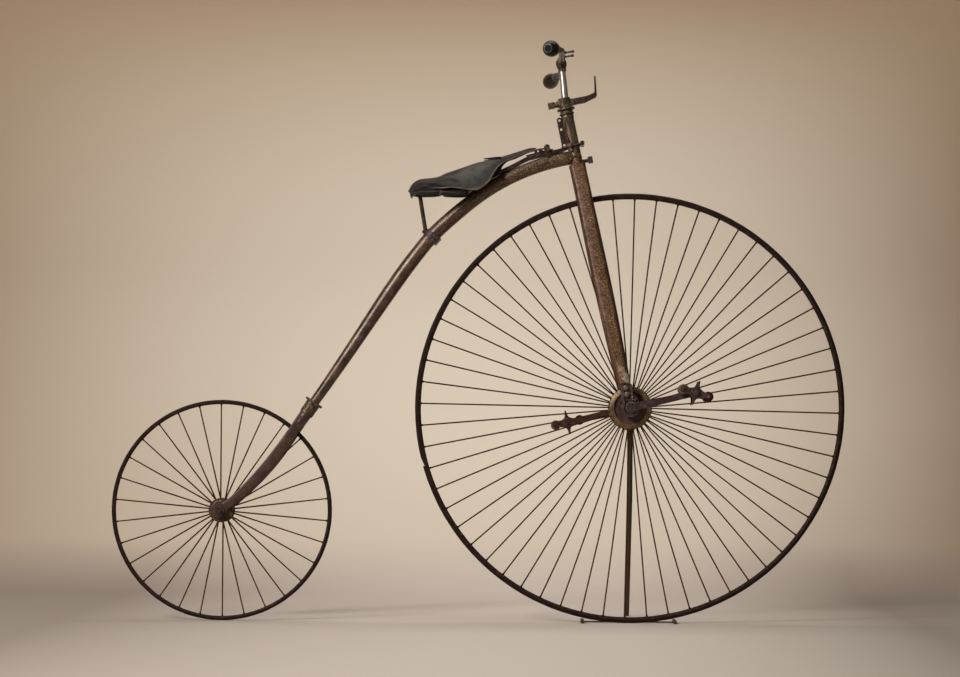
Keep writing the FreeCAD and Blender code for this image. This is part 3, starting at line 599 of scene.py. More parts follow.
def makeTyre(name, tyre):
    shape = newShape()
    rings = []
    section = tyre["section"]
    for step in range(tyre["steps"] + 1):
        turn = tyreTurn * step / tyre["steps"]
        angle = math.radians(tyre["joint"] + turn)
        left = (tyreTurn - turn) / tyre["taper"]
        sink = tyre["sunk"] * (1 - left) ** 0.7 if left < 1 else 0.0
        ripple = 0.12 * math.sin(turn * 0.61) + 0.1 * math.sin(turn * 1.7 + 1)
        ring = []
        for i in range(tyreSides):
            around = 2 * math.pi * i / tyreSides
            out = section * math.cos(around)
            if out > 0:                         # the tread, worn a little flat
                out = min(out, section * 0.985) + ripple * (out / section) - 0.1
                out -= sink * (out / section)
            radius = tyre["centre"].z - section + out
            ring.append((
                tyre["centre"].x + radius * math.cos(angle),
                section * math.sin(around),
                tyre["centre"].z + radius * math.sin(angle),
            ))
        rings.append(ring)
    addRings(shape, rings)
    makePiece(name, shape, "blackened_rubber", tyre["body"], [tyre["node"]])


for name, tyre in tyres.items():
    makeTyre(name, tyre)
print("tyres made")

# Spokes: a wire from each hub flange with a small head at the rim

spokeSets = {
    "frontSpokeWires": {
        "body": "front_wheel", "centre": hubAt, "count": 60, "first": 5.05, "hubRadius": 59.5, "rimRadius": 593.7,
        "flange": 45.0, "rimSide": 2.5, "footWire": 1.95, "tipWire": 2.12, "node": "front_spokes",
    },
    "rearSpokeWires": {
        "body": "rear_wheel", "centre": rearAt, "count": 30, "first": 6.6, "hubRadius": 33.0, "rimRadius": 300.9,
        "flange": 22.5, "rimSide": 1.5, "footWire": 2.15, "tipWire": 1.85, "node": "rear_spokes",
    },
}


def makeSpokes(name, spokes):
    shape = newShape()
    wire = spokes["tipWire"]
    for i in range(spokes["count"]):
        angle = math.radians(spokes["first"] + i * 360 / spokes["count"])
        side = 1 if i % 2 == 0 else -1
        outward = Vector((math.cos(angle), 0, math.sin(angle)))
        foot = spokes["centre"] + outward * spokes["hubRadius"] + Vector((0, side * spokes["flange"], 0))
        tip = spokes["centre"] + outward * spokes["rimRadius"] + Vector((0, side * spokes["rimSide"], 0))
        along = (tip - foot).normalized()
        addTurned(shape, foot, along, [(0, spokes["footWire"]), ((tip - foot).length - 1, wire)], 10)
        addTurned(shape, tip - along * 5, along, [(0, wire * 1.02), (1.5, wire * 1.45), (4.4, wire * 1.6)], 8)
    makePiece(name, shape, "spoke_wire", spokes["body"], [spokes["node"]])


for name, spokes in spokeSets.items():
    makeSpokes(name, spokes)

# Hubs: turned, with a brass-coloured flange ring round a dark recess

hubs = {
    # half: distance from the middle and radius; recess: from how far out the dark starts, and its widest radius
    "frontHub": {
        "node": "front_hub", "body": "front_wheel", "centre": hubAt, "sides": 120, "brass": "hub_brass",
        "recess": (40, 45.5), "half": [
            (0, 22), (30, 22), (35, 24.5), (39, 33), (41, 52), (41.2, 59.8), (42.2, 61.0), (43.8, 61.0), (44.6, 60.5),
            (46.4, 57.0), (48.4, 50.4), (48.8, 49.0), (49, 46.8), (48.3, 45.6), (45.2, 45.3), (44.6, 44.6),
            (44.3, 36.5), (45.4, 35.4), (45.4, 31.0), (44.3, 30.0), (44.3, 22.0), (47.5, 21.0), (48.2, 20.0),
            (48.2, 9.2),
        ],
    },
    "rearHub": {
        "node": "rear_hub", "body": "rear_wheel", "centre": rearAt, "sides": 80, "brass": "dark_brass",
        "recess": (-1, 24.5), "half": [
            (0, 14), (15, 14), (18.5, 16.0), (20.3, 24.0), (20.6, 33.6), (21.4, 34.5), (23.8, 34.5), (24.6, 33.7),
            (24.9, 31.0), (24.4, 29.2), (25.6, 27.2), (26.2, 25.2), (26.0, 21.0), (27.0, 20.0), (27.0, 5.7),
        ],
    },
}


def makeHub(name, hub):
    shape = newShape()
    profile = mirrored(hub["half"])
    start, widest = hub["recess"]

    def kind(i):
        return int(abs(profile[i][0]) > start and max(radius for out, radius in profile[i:i + 2]) < widest)

    addTurned(shape, hub["centre"], (0, 1, 0), profile, hub["sides"], kind=kind)
    makePiece(name, shape, [hub["brass"], "maroon_steel"], hub["body"], [hub["node"]], 32)


for name, hub in hubs.items():
    makeHub(name, hub)
print("hubs and spoke ends made")

# Cranks: a flat arm between a round boss and the pedal pin's eye

crank = {
    "length": 179.0, "inner": 109.0, "outer": 121.0, "boss": 16.0, "root": 11.0, "tip": 7.8, "eye": 9.4,
    "turns": {"right": 12.9, "left": 192.9},
}
sides = {"right": -1, "left": 1}


def turnedXZ(points, centre, degrees):
    c, s = math.cos(math.radians(degrees)), math.sin(math.radians(degrees))
    return [(centre.x + x * c - z * s, centre.z + x * s + z * c) for x, z in points]


def turnedPoint(x, centre, degrees):            # a place x millimetres out from the centre
    x, z = turnedXZ([(x, 0)], centre, degrees)[0]
    return Vector((x, 0, z))


def makeCrank(name, side):
    shape = newShape()
    outward = (0, side, 0)
    turn = crank["turns"][name]
    length, inner, outer, boss = crank["length"], crank["inner"], crank["outer"], crank["boss"]
    neck = math.degrees(math.asin(crank["root"] / boss))
    tipNeck = math.degrees(math.asin(crank["tip"] / crank["eye"]))
    corners = arc(0, 0, boss, neck + 8, 352 - neck, 36)
    corners += [(boss * 1.5, -crank["root"]), (length - 20, -crank["tip"] - 0.6)]
    corners += arc(length, 0, crank["eye"], -180 + tipNeck, 180 - tipNeck, 24)
    corners += [(length - 20, crank["tip"] + 0.6), (boss * 1.5, crank["root"])]
    addPlate(shape, turnedXZ(corners, hubAt, turn), side * inner, side * outer)
    addTurned(shape, hubAt, outward, [(105, 15.2), (106, 15.9), (inner, 15.9)])
    cap = [(outer - 0.5, 15.9), (outer + 0.5, 15.8), (outer + 1.9, 14.2), (outer + 2.0, 1.0)]
    # Painted highlight: the bevel round the boss's end is in the lighter edge finish
    addTurned(shape, hubAt, outward, cap, kind=lambda i: int(i == 1))
    pinAt = turnedPoint(length, hubAt, turn)
    addTurned(shape, pinAt, outward, [(outer - 0.5, 9.0), (123.4, 9.0), (124, 8.4)], 32)
    addTurned(shape, pinAt, outward, [(inner - 3, 5.2), (inner - 2.4, 6.0), (inner + 0.5, 6.0)], 24)
    makePiece("crank_" + name + "_arm", shape, ["crank_steel", "edge_steel"], "front_wheel", ["crank_" + name], 30, 0.7)


for name, side in sides.items():
    makeCrank(name, side)

# Pedals: two four-armed plates on a sleeve, with a roller at each end of the long arms

pedal = {
    "inner": 128.0, "outer": 209.0, "plate": 3.5, "offset": 35.5, "end": 8.6, "tilt": {"right": -17.0, "left": 12.9},
    "quarter": [
        (31.5, 8.4), (24.0, 8.6), (17.5, 9.6), (12.0, 11.8), (8.0, 14.4), (5.4, 17.4), (3.6, 22.0), (2.9, 27.0),
        (2.5, 31.0), (1.8, 34.2), (0.0, 35.0),
    ],
    "ribs": 6, "valley": 12.9, "ridge": 14.0,
}


def pedalOutline():
    upper = pedal["quarter"] + [(-x, z) for x, z in pedal["quarter"][-2::-1]]
    leftEnd = [(-pedal["offset"] + x, z) for x, z in arc(0, 0, pedal["end"], 112, 248, 10)]
    return upper + leftEnd + [(-x, -z) for x, z in upper + leftEnd]


def rollerProfile(start, stop):
    ridge, valley = pedal["ridge"], pedal["valley"]
    profile = [(start, 4.0), (start, 12.6), (start + 1.6, ridge)]
    for i in range(1, pedal["ribs"]):
        y = start + (stop - start) * i / pedal["ribs"]
        profile += [(y - 1.6, ridge), (y - 0.9, valley), (y + 0.9, valley), (y + 1.6, ridge)]
    return profile + [(stop - 1.6, ridge), (stop, 12.6), (stop, 4.0)]


def makePedal(name, side):
    outward = (0, side, 0)
    centre = turnedPoint(crank["length"], hubAt, crank["turns"][name])
    tilt = pedal["tilt"][name]
    outer, inner, plate = pedal["outer"], pedal["inner"], pedal["plate"]
    plates = newShape()
    for y in (inner, outer - plate):
        addPlate(plates, turnedXZ(pedalOutline(), centre, tilt), side * y, side * (y + plate))
    makePiece("pedalPlates_" + name, plates, "crank_steel", "pedal_" + name, ["pedal_cage_" + name], 30, 0.6)
    core = newShape()
    addTurned(core, centre, outward, [(inner - 2, 12.6), (inner - 1.5, 13.6), (inner, 13.6)], 36)
    half = [(inner, 10.0), (inner + 12, 10.0), (inner + 14, 8.8)]
    addTurned(core, centre, outward, half + [(outer - 14, 8.8), (outer - 12, 10.0), (outer, 10.0)], 32)
    cap = [(-0.2, 12.2), (1.6, 12.0), (2.4, 10.9), (1.2, 10.2), (1.2, 8.8), (3.4, 8.4), (4, 6.0)]
    addTurned(core, centre, outward, [(outer + out, radius) for out, radius in cap], 36)
    rollers = newShape()
    start, stop = inner + plate + 0.3, outer - plate - 0.3
    for end in (-1, 1):
        at = turnedPoint(end * pedal["offset"], centre, tilt)
        addTurned(core, at, outward, [(inner - 1.8, 3.4), (outer + 3, 3.4)], 14)
        addNut(core, at + Vector((0, side * (outer - 0.2), 0)), outward, 11.5, 2.6, 6, 20 * end)
        addTurned(core, at, outward, [(outer + 2.2, 3.6), (outer + 3.2, 2.6)], 14, kind=int(end > 0))
        addTurned(rollers, at, outward, rollerProfile(start, stop), 36, kind=int(end > 0))
        addTurned(core, at, outward, [(stop - 0.2, 8.8), (stop + 0.25, 8.8)], 24)
    makePiece("pedalCore_" + name, core, ["crank_steel", "copper_rust"], "pedal_" + name, (), 30)
    rubbers = ["pedal_rubber", "darkRubber"]
    makePiece("pedalRubbers_" + name, rollers, rubbers, "pedal_" + name, ["pedal_rollers_" + name], 34)


for name, side in sides.items():
    makePedal(name, side)
print("cranks and pedals made")

# The axle bearings under the fork legs: a strap round the hub, with two round bolt heads and an oil cup

bearing = {
    "inner": 56.0, "face": 77.0, "rim": 80.0, "radius": 26.5, "groove": 18.4,
    "bolts": [(414.5, 665.7), (418.6, 647.0)],
    "boltHead": [(77.0, 7.6), (79.4, 7.6), (79.4, 6.4), (83.0, 6.2), (84.0, 4.4), (84.4, 2.0)],
    "sleeve": [(76.5, 14.0), (82.0, 14.0), (83.0, 13.0), (83.0, 9.5)],
    "oiler": [(0, 2.8), (6.0, 2.8), (6.4, 4.2), (10.0, 4.2), (11.4, 3.0), (11.8, 1.0)],
    "stud": [(0, 3.2), (4.0, 3.2), (5.0, 2.0)],
    "stay": [(427.5, 673), (432.6, 673), (435.4, 642), (429.6, 640)],
}


def makeBearing(name, side):
    shape = newShape()
    outward = (0, side, 0)
    x, z = hubAt.x, hubAt.z
    face, rim = side * bearing["face"], side * bearing["rim"]
    low = arc(x, z, bearing["radius"], 150, 385, 44)
    back = [(396.8, 676), (401.5, 650), (403.0, 632)] + low + [(450.5, 634), (437.0, 652), (431.8, 676)]
    addPlate(shape, back, side * bearing["inner"], face)
    inside = arc(x, z, bearing["groove"], 378, 150, 40)
    strap = [(399.5, 674), (402.6, 648), (401.5, 632)] + low + inside + [(410.5, 634), (410.2, 648), (407.5, 674)]
    addPlate(shape, strap, face, rim, 1)
    addPlate(shape, bearing["stay"], face, rim, 1)
    crest = [(430.2 - 34 * i / 12, 675 + 4.5 * math.sin(math.pi * i / 12)) for i in range(1, 12)]
    addPlate(shape, [(396.4, 677), (399.2, 662), (431.2, 662), (431.6, 675)] + crest, face, face + side * 1.2)
    bolts = newShape()
    for boltX, boltZ in bearing["bolts"]:
        addTurned(bolts, (boltX, 0, boltZ), outward, bearing["boltHead"], 28)
    addTurned(shape, hubAt, outward, bearing["sleeve"])
    addTurned(bolts, (x + 5.5, side * 79.0, z + 21.5), (-0.12, 0, 1), bearing["oiler"], 18)
    addTurned(bolts, (x + 11.5, side * 78.0, z + 20.0), (0.3, 0, 1), bearing["stud"], 18)
    strapFinish = ["dark_steel", "edge_steel"]
    makePiece("bearingStrap_" + name, shape, strapFinish, "steering", ["axle_bearing_" + name], 30, 0.8)
    makePiece("bearingBolts_" + name, bolts, "bolt_steel", "steering", (), 34)


for name, side in sides.items():
    makeBearing(name, side)
print("bearings made")


# A solid again with its long edges softened

def softCopy(name, node, body, width, finish, sharp=28):
    mesh = cadNodes[node].data.copy()
    mesh.name = name
    work = bmesh.new()
    work.from_mesh(mesh)
    bmesh.ops.remove_doubles(work, verts=work.verts, dist=0.00001)
    bmesh.ops.dissolve_limit(work, angle_limit=math.radians(1.5), verts=work.verts, edges=work.edges)
    work.to_mesh(mesh)
    work.free()
    mesh.materials.clear()
    mesh.materials.append(finishes[finish or nodeSlots[node]])
    placePiece(name, mesh, sharp, width, body, [node])


softPieces = [
    # name, node, body, edge width, finish
    ("crownSoft", "fork_crown", "steering", 1.4, None),
    ("clampBody", "top_clamp", "steering", 1.0, "olive_steel"),
    ("lampArm", "lamp_bracket", "steering", 1.2, None),
    ("springPlate", "spring_bracket", "frame", 0.7, "dark_steel"),
    ("barSoft", "handlebar", "steering", 0.25, "grey_steel"),
    ("socketSoft", "backbone_socket", "frame", 1.4, "olive_steel"),
    ("rearForkSoft", "rear_fork", "frame", 1.2, "blade_steel"),
    ("springSoft", "saddle_spring", "frame", 1.4, "dark_steel"),
    ("yokeSoft", "spring_yoke", "frame", 0.5, "dark_steel"),
    ("staySoft", "saddle_stay", "frame", 0.8, None),
    ("stayClampSoft", "stay_clamp", "frame", 1.2, None),
    ("standClipSoft", "stand_clip", "steering", 1.0, None),
]
for softPiece in softPieces:
    softCopy(*softPiece)
print("edges softened")

# The head: neck rings, link strap, adjusting nut, clamp screw and crown bolt

head = {
    # height above the crown's top and radius, from the bore out and back to it
    "neck": [
        (0.3, 10.3), (0.3, 18.2), (1.6, 18.8), (4.6, 18.8), (5.6, 17.6), (7.0, 16.9), (30, 17.3), (60, 17.5),
        (92, 17.3), (114, 17.0), (115.4, 17.8), (117.0, 18.5), (120.6, 18.5), (121.6, 18.0), (122.0, 17.0),
        (122.0, 10.3),
    ],
    "nut": [
        (122.35, 10.3), (122.35, 17.4), (123.3, 18.3), (125.2, 18.3), (126.0, 20.2), (126.8, 21.0), (129.2, 21.0),
        (130.0, 20.2), (130.6, 18.1), (137.6, 17.9), (138.5, 24.4), (139.3, 25.5), (142.6, 25.5), (143.8, 24.6),
        (144.0, 10.3),
    ],
    "collar": [(171.8, 17.0), (173.0, 16.4), (174.0, 13.0), (174.0, 10.4)],
    "screw": [(-3, 7.6), (-1, 8.4), (0.6, 8.4), (1.0, 6.2), (2.0, 6.2)], "screwAt": (-30, 0, 159.0),
    "linkEnds": ((240.5, 1373.0), (256.0, 1340.0)), "linkRadius": 5.5, "linkSides": (-21.6, -18.2),
    "linkNut": (253.4, -21.6, 1352.0),
    "boltAt": (17, 0, -13), "boltHeadAt": (39.6, 0, -13), "boltHead": (13.4, 18.3, 18.3),
    "threads": 6, "pitch": 1.9, "thread": 5.6,
}


def makeHead():
    base = onHead(0, 0, 0)
    neck = newShape()
    addTurned(neck, base, headUp, head["neck"], 48, closed=True)
    makePiece("neckTurned", neck, "neck_steel", "frame", ["neck"], 34)
    link = newShape()
    (topX, topZ), (lowX, lowZ) = head["linkEnds"]
    lean = math.degrees(math.atan2(lowZ - topZ, lowX - topX))
    ends = arc(lowX, lowZ, head["linkRadius"], lean - 90, lean + 90, 10)
    ends += arc(topX, topZ, head["linkRadius"], lean + 90, lean + 270, 10)
    addPlate(link, ends, *head["linkSides"])
    addNut(link, head["linkNut"], (0, -1, 0), 12.5, 5.0, 6, 10)
    addTurned(link, head["linkNut"], (0, -1, 0), [(4.5, 3.2), (7.0, 3.2), (7.6, 2.2)], 18)
    makePiece("linkStrap", link, "bolt_steel", "frame", (), 34, 0.5)
    nut = newShape()
    addTurned(nut, base, headUp, head["nut"], 48)
    makePiece("nutTurned", nut, "olive_steel", "steering", ["adjusting_nut"], 34)
    screw = newShape()
    addTurned(screw, onHead(*head["screwAt"]), -headFront, head["screw"], 28)
    addTurned(screw, base, headUp, head["collar"])
    makePiece("clampCollar", screw, "dark_steel", "steering", (), 34)
    bolt = newShape()
    threads = [(0, head["thread"]), (4, head["thread"])]
    for i in range(head["threads"]):
        threads += [(4.4 + i * head["pitch"], 5.7), (5.3 + i * head["pitch"], 4.4)]
    addTurned(bolt, onHead(*head["boltAt"]), headFront, threads + [(16.0, head["thread"]), (16.0, 4.6)], 28)
    addBlock(bolt, onHead(*head["boltHeadAt"]), headFront, (0, 1, 0), *head["boltHead"])
    makePiece("crownBoltTurned", bolt, "crank_steel", "steering", ["crown_bolt"], 34, 0.9)


makeHead()

# Bar fittings: lug, pegs with round knobs, pear-shaped grips, ferrules and end rings

bar = {
    "middle": Vector((228.0, 0, 1590.0)), "half": 300.0, "straight": 195.0, "sweep": 20.0, "droop": 7.0,
    "pegs": (-150.0, -85.0), "pegTip": 34.0, "pegLean": (26, 0, 4),
    "knob": [(-6.0, 3.1), (-5.4, 3.7), (-0.6, 3.9), (0.5, 3.1), (0.8, 1.2)],
    "pegFoot": [(8.5, 4.6), (10.2, 4.6), (10.8, 3.8), (12.0, 3.1)],
    "lug": [
        (0, 9.6), (0.6, 11.2), (3.0, 11.4), (5.0, 10.6), (8.5, 11.6), (13.0, 13.6), (18.0, 15.0), (23.0, 15.5),
        (28.0, 14.8), (32.5, 12.6), (36.0, 9.0), (38.0, 4.5), (38.4, 1.0),
    ],
    "barrel": [
        (15.5, 11.5), (16.5, 12.1), (19, 12.2), (21, 11.9), (22, 11.0), (26, 10.3), (41, 10.2), (42, 9.4), (42, 8.2),
    ],
    "pear": [
        (3.5, 12.0), (4.2, 14.0), (6.5, 16.6), (10, 18.9), (14, 20.5), (18, 21.6), (22, 22.1), (26.5, 22.3), (31, 22.0),
        (36, 21.2), (42, 19.7), (48, 18.0), (54, 16.1), (60, 14.0), (65, 12.2), (67.5, 11.4),
    ],
    "bore": 8.2, "gripStep": 0.8, "gripSteps": 81, "grooves": (14.0, 22.0, 38.0, 52.0), "grooveDepth": 0.5,
    "endRing": [(3.6, 12.2), (2.8, 12.6), (0.8, 12.6), (-0.2, 12.0), (-0.6, 11.2), (-0.6, 10.2), (0.2, 9.4), (3, 9.2)],
    "ferrule": [
        (67.3, 8.2), (67.3, 12.2), (68.2, 12.6), (69.6, 12.6), (70.4, 11.8), (75.6, 10.9), (76.2, 11.2), (77.4, 11.0),
        (77.8, 10.2), (77.8, 8.2),
    ],
    # Painted shade: a dark disc in the grip's end standing in for its shadowed hole, distance along and radius
    "holeShade": [(0.3, 9.6), (-0.2, 8.0), (-0.25, 0.5)],
}


def makeBarMiddle():
    lug = newShape()
    low = bar["middle"] + Vector((3.4, 0, -27))
    addTurned(lug, low, bar["middle"] + Vector((0, 0, -5)) - low, bar["lug"])
    addTurned(lug, bar["middle"], (0, 1, 0), mirrored(bar["barrel"], 0))
    makePiece("lugTurned", lug, "olive_steel", "steering", ["bar_lug"], 34)
    knobs = newShape()
    forward = Vector(bar["pegLean"]).normalized()
    for y in bar["pegs"]:
        foot = bar["middle"] + Vector((0, y, 0))
        addTurned(knobs, foot + forward * bar["pegTip"], forward, bar["knob"], 20)
        addTurned(knobs, foot, forward, bar["pegFoot"], 20)
    makePiece("pegKnobs", knobs, "crank_steel", "steering", (), 34)


def makeGrip(name, side):
    out = bar["half"] - bar["straight"]
    back, down = out * math.tan(math.radians(bar["sweep"])), out * math.tan(math.radians(bar["droop"]))
    end = bar["middle"] + Vector((-back, side * bar["half"], -down))
    inward = bar["middle"] + Vector((0, side * bar["straight"], 0)) - end
    start = bar["pear"][0][0]
    profile = [(start, bar["bore"])]
    for i in range(bar["gripSteps"]):
        at = start + bar["gripStep"] * i
        dips = sum(math.exp(-((at - groove) / 0.7) ** 2) for groove in bar["grooves"])
        profile.append((at, between(bar["pear"], at) - bar["grooveDepth"] * dips))
    grip = newShape()
    addTurned(grip, end, inward, profile + [(bar["pear"][-1][0], bar["bore"])], 48)
    makePiece("gripTurned_" + name, grip, "brownHorn" if side > 0 else "horn", "steering", ["grip_" + name], 40)
    rings = newShape()
    addTurned(rings, end, inward, bar["endRing"])
    addTurned(rings, end, inward, bar["ferrule"])
    makePiece("gripRings_" + name, rings, "ring_metal", "steering", ["grip_rings"] if name == "right" else (), 34)
    # Painted shade: a dark disc at the grip's end stands in for the shadowed hole
    holeShade = newShape()
    addTurned(holeShade, end, inward, bar["holeShade"], 32)
    makePiece("gripHoleShade_" + name, holeShade, "blackened_rubber", "steering")


makeBarMiddle()
for name, side in sides.items():
    makeGrip(name, side)
print("head and bar made")

# The saddle: a stiff old hide drawn over its frame, with a curled nose, two flaps and a rolled back

saddle = {
    # nose to tail: middle x, z; near edge x, y, z; far edge x, y, z
    "stations": [
        (158.5, 1347.0, 153.0, 8.0, 1337.0, 153.0, 8.0, 1337.0),
        (139.5, 1345.4, 133.0, 10.0, 1331.4, 133.0, 10.0, 1331.4),
        (107.0, 1335.5, 104.0, 12.5, 1319.0, 104.0, 12.5, 1318.0),
        (77.8, 1326.0, 79.0, 18.0, 1308.5, 79.0, 18.0, 1311.0),
        (56.0, 1319.4, 59.0, 31.0, 1296.0, 61.0, 34.0, 1297.0),
        (33.3, 1315.6, 48.0, 47.0, 1282.5, 54.0, 52.0, 1276.0),
        (10.6, 1307.2, 37.5, 64.0, 1264.0, 45.0, 67.0, 1256.0),
        (-8.1, 1303.4, 25.0, 75.0, 1240.5, 31.0, 75.0, 1240.0),
        (-34.7, 1294.2, 0.5, 80.0, 1220.5, 6.0, 79.0, 1227.0),
        (-69.8, 1282.0, -25.0, 82.0, 1217.4, -24.0, 82.0, 1219.0),
        (-96.9, 1272.6, -48.0, 84.0, 1220.4, -50.0, 84.0, 1218.0),
        (-121.3, 1261.0, -77.0, 86.0, 1223.0, -78.0, 86.0, 1219.0),
        (-147.9, 1256.6, -106.0, 88.0, 1221.0, -106.0, 88.0, 1222.0),
        (-172.9, 1253.6, -136.0, 84.0, 1219.0, -136.0, 84.0, 1219.0),
        (-190.0, 1243.8, -163.0, 70.0, 1213.0, -163.0, 70.0, 1213.0),
        (-199.0, 1231.0, -184.0, 48.0, 1210.0, -184.0, 48.0, 1210.0),
        (-203.0, 1219.0, -197.0, 22.0, 1209.0, -197.0, 22.0, 1209.0),
    ],
    # creases and ridges seen from the side: x, z points, width, depth or height
    "creases": [
        ([(-178, 1217), (-154, 1220), (-134, 1227), (-120, 1229), (-98, 1226)], 3.6, 8.0),
        ([(-150, 1214), (-126, 1217.5), (-104, 1218)], 2.6, 5.0),
        ([(-122, 1241), (-99, 1248), (-85, 1247.5), (-64, 1242)], 3.2, 6.5),
        ([(-192, 1238), (-176, 1244)], 5.0, 7.0),
        ([(-188, 1226), (-160, 1233), (-140, 1231), (-112, 1236), (-92, 1238)], 2.6, 3.6),
        ([(-104, 1260), (-78, 1266), (-56, 1277)], 3.4, 2.6),
    ],
    "ridges": [
        ([(-182, 1246), (-166, 1240), (-138, 1237), (-115, 1239), (-99, 1240), (-84, 1233)], 3.4, 3.4),
        ([(-168, 1250), (-140, 1250), (-118, 1254), (-92, 1262)], 4.2, 2.2),
        ([(-160, 1226), (-140, 1227), (-118, 1222), (-104, 1221)], 2.0, 2.6),
    ],
    "thick": 3.4, "rows": 6, "across": 15,
    # rolled rim: which edge, and the first and last of its stations
    "rims": [("near", 2, 13), ("far", 2, 10)],
    # curled lip of the nose: x, y, z points, growth of its radius and how fast
    "curls": [
        ([(8.5, -20, 1311.5), (16, -22, 1312.0), (28, -24, 1312.5), (44, -24, 1314.5), (60, -20, 1316.0)], 2.2, 0.12),
        ([(9, 18, 1312.5), (26, 22, 1313.0), (50, 20, 1315.0)], 2.0, 0.15),
    ],
}


def clamped(value):
    return max(0.0, min(1.0, value))


def lineDistance(points, x, z):
    best = 1000.0
    for (x0, z0), (x1, z1) in zip(points, points[1:]):
        dx, dz = x1 - x0, z1 - z0
        t = clamped(((x - x0) * dx + (z - z0) * dz) / (dx * dx + dz * dz))
        best = min(best, math.hypot(x - x0 - dx * t, z - z0 - dz * t))
    return best


def nearLines(lines, point):                    # how much of each crease or ridge reaches the point
    reach = 0.0
    for line, width, amount in lines:
        reach += amount * math.exp(-(lineDistance(line, point.x, point.z) / width) ** 2)
    return reach


def makeSaddle():
    rows, across = saddle["rows"], saddle["across"]
    middles = smoothLine([(x, 0, z) for x, z, *sideways in saddle["stations"]], rows)
    edges = {
        "near": smoothLine([(entry[2], -entry[3], entry[4]) for entry in saddle["stations"]], rows),
        "far": smoothLine([entry[5:] for entry in saddle["stations"]], rows),
    }
    points = []
    layers = {"wear": [], "creaseShade": [], "paintedSheen": []}
    for row, (middle, right, left) in enumerate(zip(middles, edges["near"], edges["far"])):
        share = row / (len(middles) - 1)
        for i in range(-across, across + 1):
            edge = right if i < 0 else left
            v = abs(i) / across
            out = math.sin(v * math.pi / 2) ** 0.92
            down = 1 - math.cos(v * math.pi / 2) ** 1.15
            x = middle.x + (edge.x - middle.x) * v ** 1.25
            point = Vector((x, edge.y * out, middle.z + (edge.z - middle.z) * down))
            depth = nearLines(saddle["creases"], point)
            raised = (nearLines(saddle["ridges"], point) - depth) * min(1.0, v * 2.2)
            wave = 1.2 * math.sin(point.x * 0.083 + v * 2.3) * v * (0.3 + share)
            point.y += (-1 if i < 0 else 1) * (raised * 0.9 + wave)
            point.z += raised * 0.4
            points.append(point)
            rimWidth = 6.0 + 7.0 * math.exp(-((point.x - 2) / 36) ** 2)
            layers["wear"].append(max(0.0, 1 - (1 - v) * (middle - edge).length / rimWidth))
            onFlap = clamped((point.x + 112) / 50) * clamped((72 - point.x) / 30)
            # Painted sheen: a band across the middle of the flap
            layers["paintedSheen"].append(math.exp(-((v - 0.42) / 0.2) ** 2) * onFlap)
            # How deep the creases are, used for painted shade in them
            layers["creaseShade"].append(min(1.0, depth / 2.0))
    wide = 2 * across + 1
    corners = [row * wide + i for row in range(len(middles) - 1) for i in range(wide - 1)]
    faces = [(a, a + 1, a + wide + 1, a + wide) for a in corners]
    shape = {"points": points, "faces": faces, "kinds": [0] * len(faces)}
    piece = makePiece("saddleHide", shape, "leather", "frame", ["saddle"], 180)
    for name, values in layers.items():
        layer = piece.data.attributes.new(name, "FLOAT", "POINT")
        layer.data.foreach_set("value", values)
    solid = piece.modifiers.new("hide", "SOLIDIFY")
    solid.thickness = saddle["thick"] / 1000
    solid.offset = -1
    finer = piece.modifiers.new("finer", "SUBSURF")
    finer.levels = finer.render_levels = 1
    rim = newShape()
    for edge, start, stop in saddle["rims"]:
        line = [point + Vector((0, 0, 0.4)) for point in edges[edge][start * rows:stop * rows]]
        arched = [max(0.0, math.sin(math.pi * i / (len(line) - 1))) for i in range(len(line))]
        addTube(rim, line, [0.6 + 1.3 * share ** 0.5 for share in arched], 10)
    # The rolled rim is in the lightened hide copy: a painted highlight along it
    makePiece("saddleRim", rim, "wornHide", "frame", (), 60)
    strip = newShape()
    for curl, growth, pace in saddle["curls"]:
        line = smoothLine(curl, 5)
        addTube(strip, line, [0.5 + growth * min(1.0, pace * i) for i in range(len(line))], 10)
    # The curled lips are in the shaded hide copy: painted shade
    makePiece("saddleCurl", strip, "underHide", "frame", (), 60)


# Under the saddle: folded layers of hide, the dark panel above them and the rear hook; the layers and panel are in the
# shaded hide copy, painted shade

saddleLayers = {
    # how much higher the far side's layers are; then each layer's x, z, y points and its radius
    "farLift": 12.0,
    "layers": [
        ([(-107, 1206, 71), (-96, 1205.6, 74), (-66, 1204.8, 75), (-44, 1205.8, 73), (-32, 1209.5, 66)], 5.0),
        ([(-104, 1215, 74), (-80, 1214, 76), (-54, 1212.5, 76), (-34, 1215, 68)], 1.9),
        ([(-178, 1209, 58), (-160, 1205, 68), (-138, 1205.5, 73), (-120, 1207.5, 73), (-113, 1209, 71)], 4.8),
        ([(-166, 1217.5, 76), (-146, 1215.5, 80), (-128, 1216.5, 82), (-110, 1211.5, 80)], 1.7),
        ([(-150, 1222, 82), (-132, 1221, 84), (-114, 1222.5, 84), (-100, 1219, 82)], 1.5),
    ],
    # x, half width and height of the dark panel
    "panel": [
        (-194, 18, 1219), (-180, 46, 1219), (-150, 60, 1219), (-110, 63, 1218.5), (-60, 62, 1218), (-34, 48, 1221),
        (-22, 12, 1226),
    ],
    "panelThick": 3.2, "panelSides": 28,
    # x, z corners and half width of the hook's two plates
    "hook": [
        ([(-197.0, 1226), (-197.5, 1206), (-195.5, 1202), (-191.5, 1202), (-190.5, 1212), (-190.0, 1226)], 9),
        ([(-204.5, 1222.5), (-203, 1219), (-196, 1217.5), (-196, 1224)], 7),
    ],
}


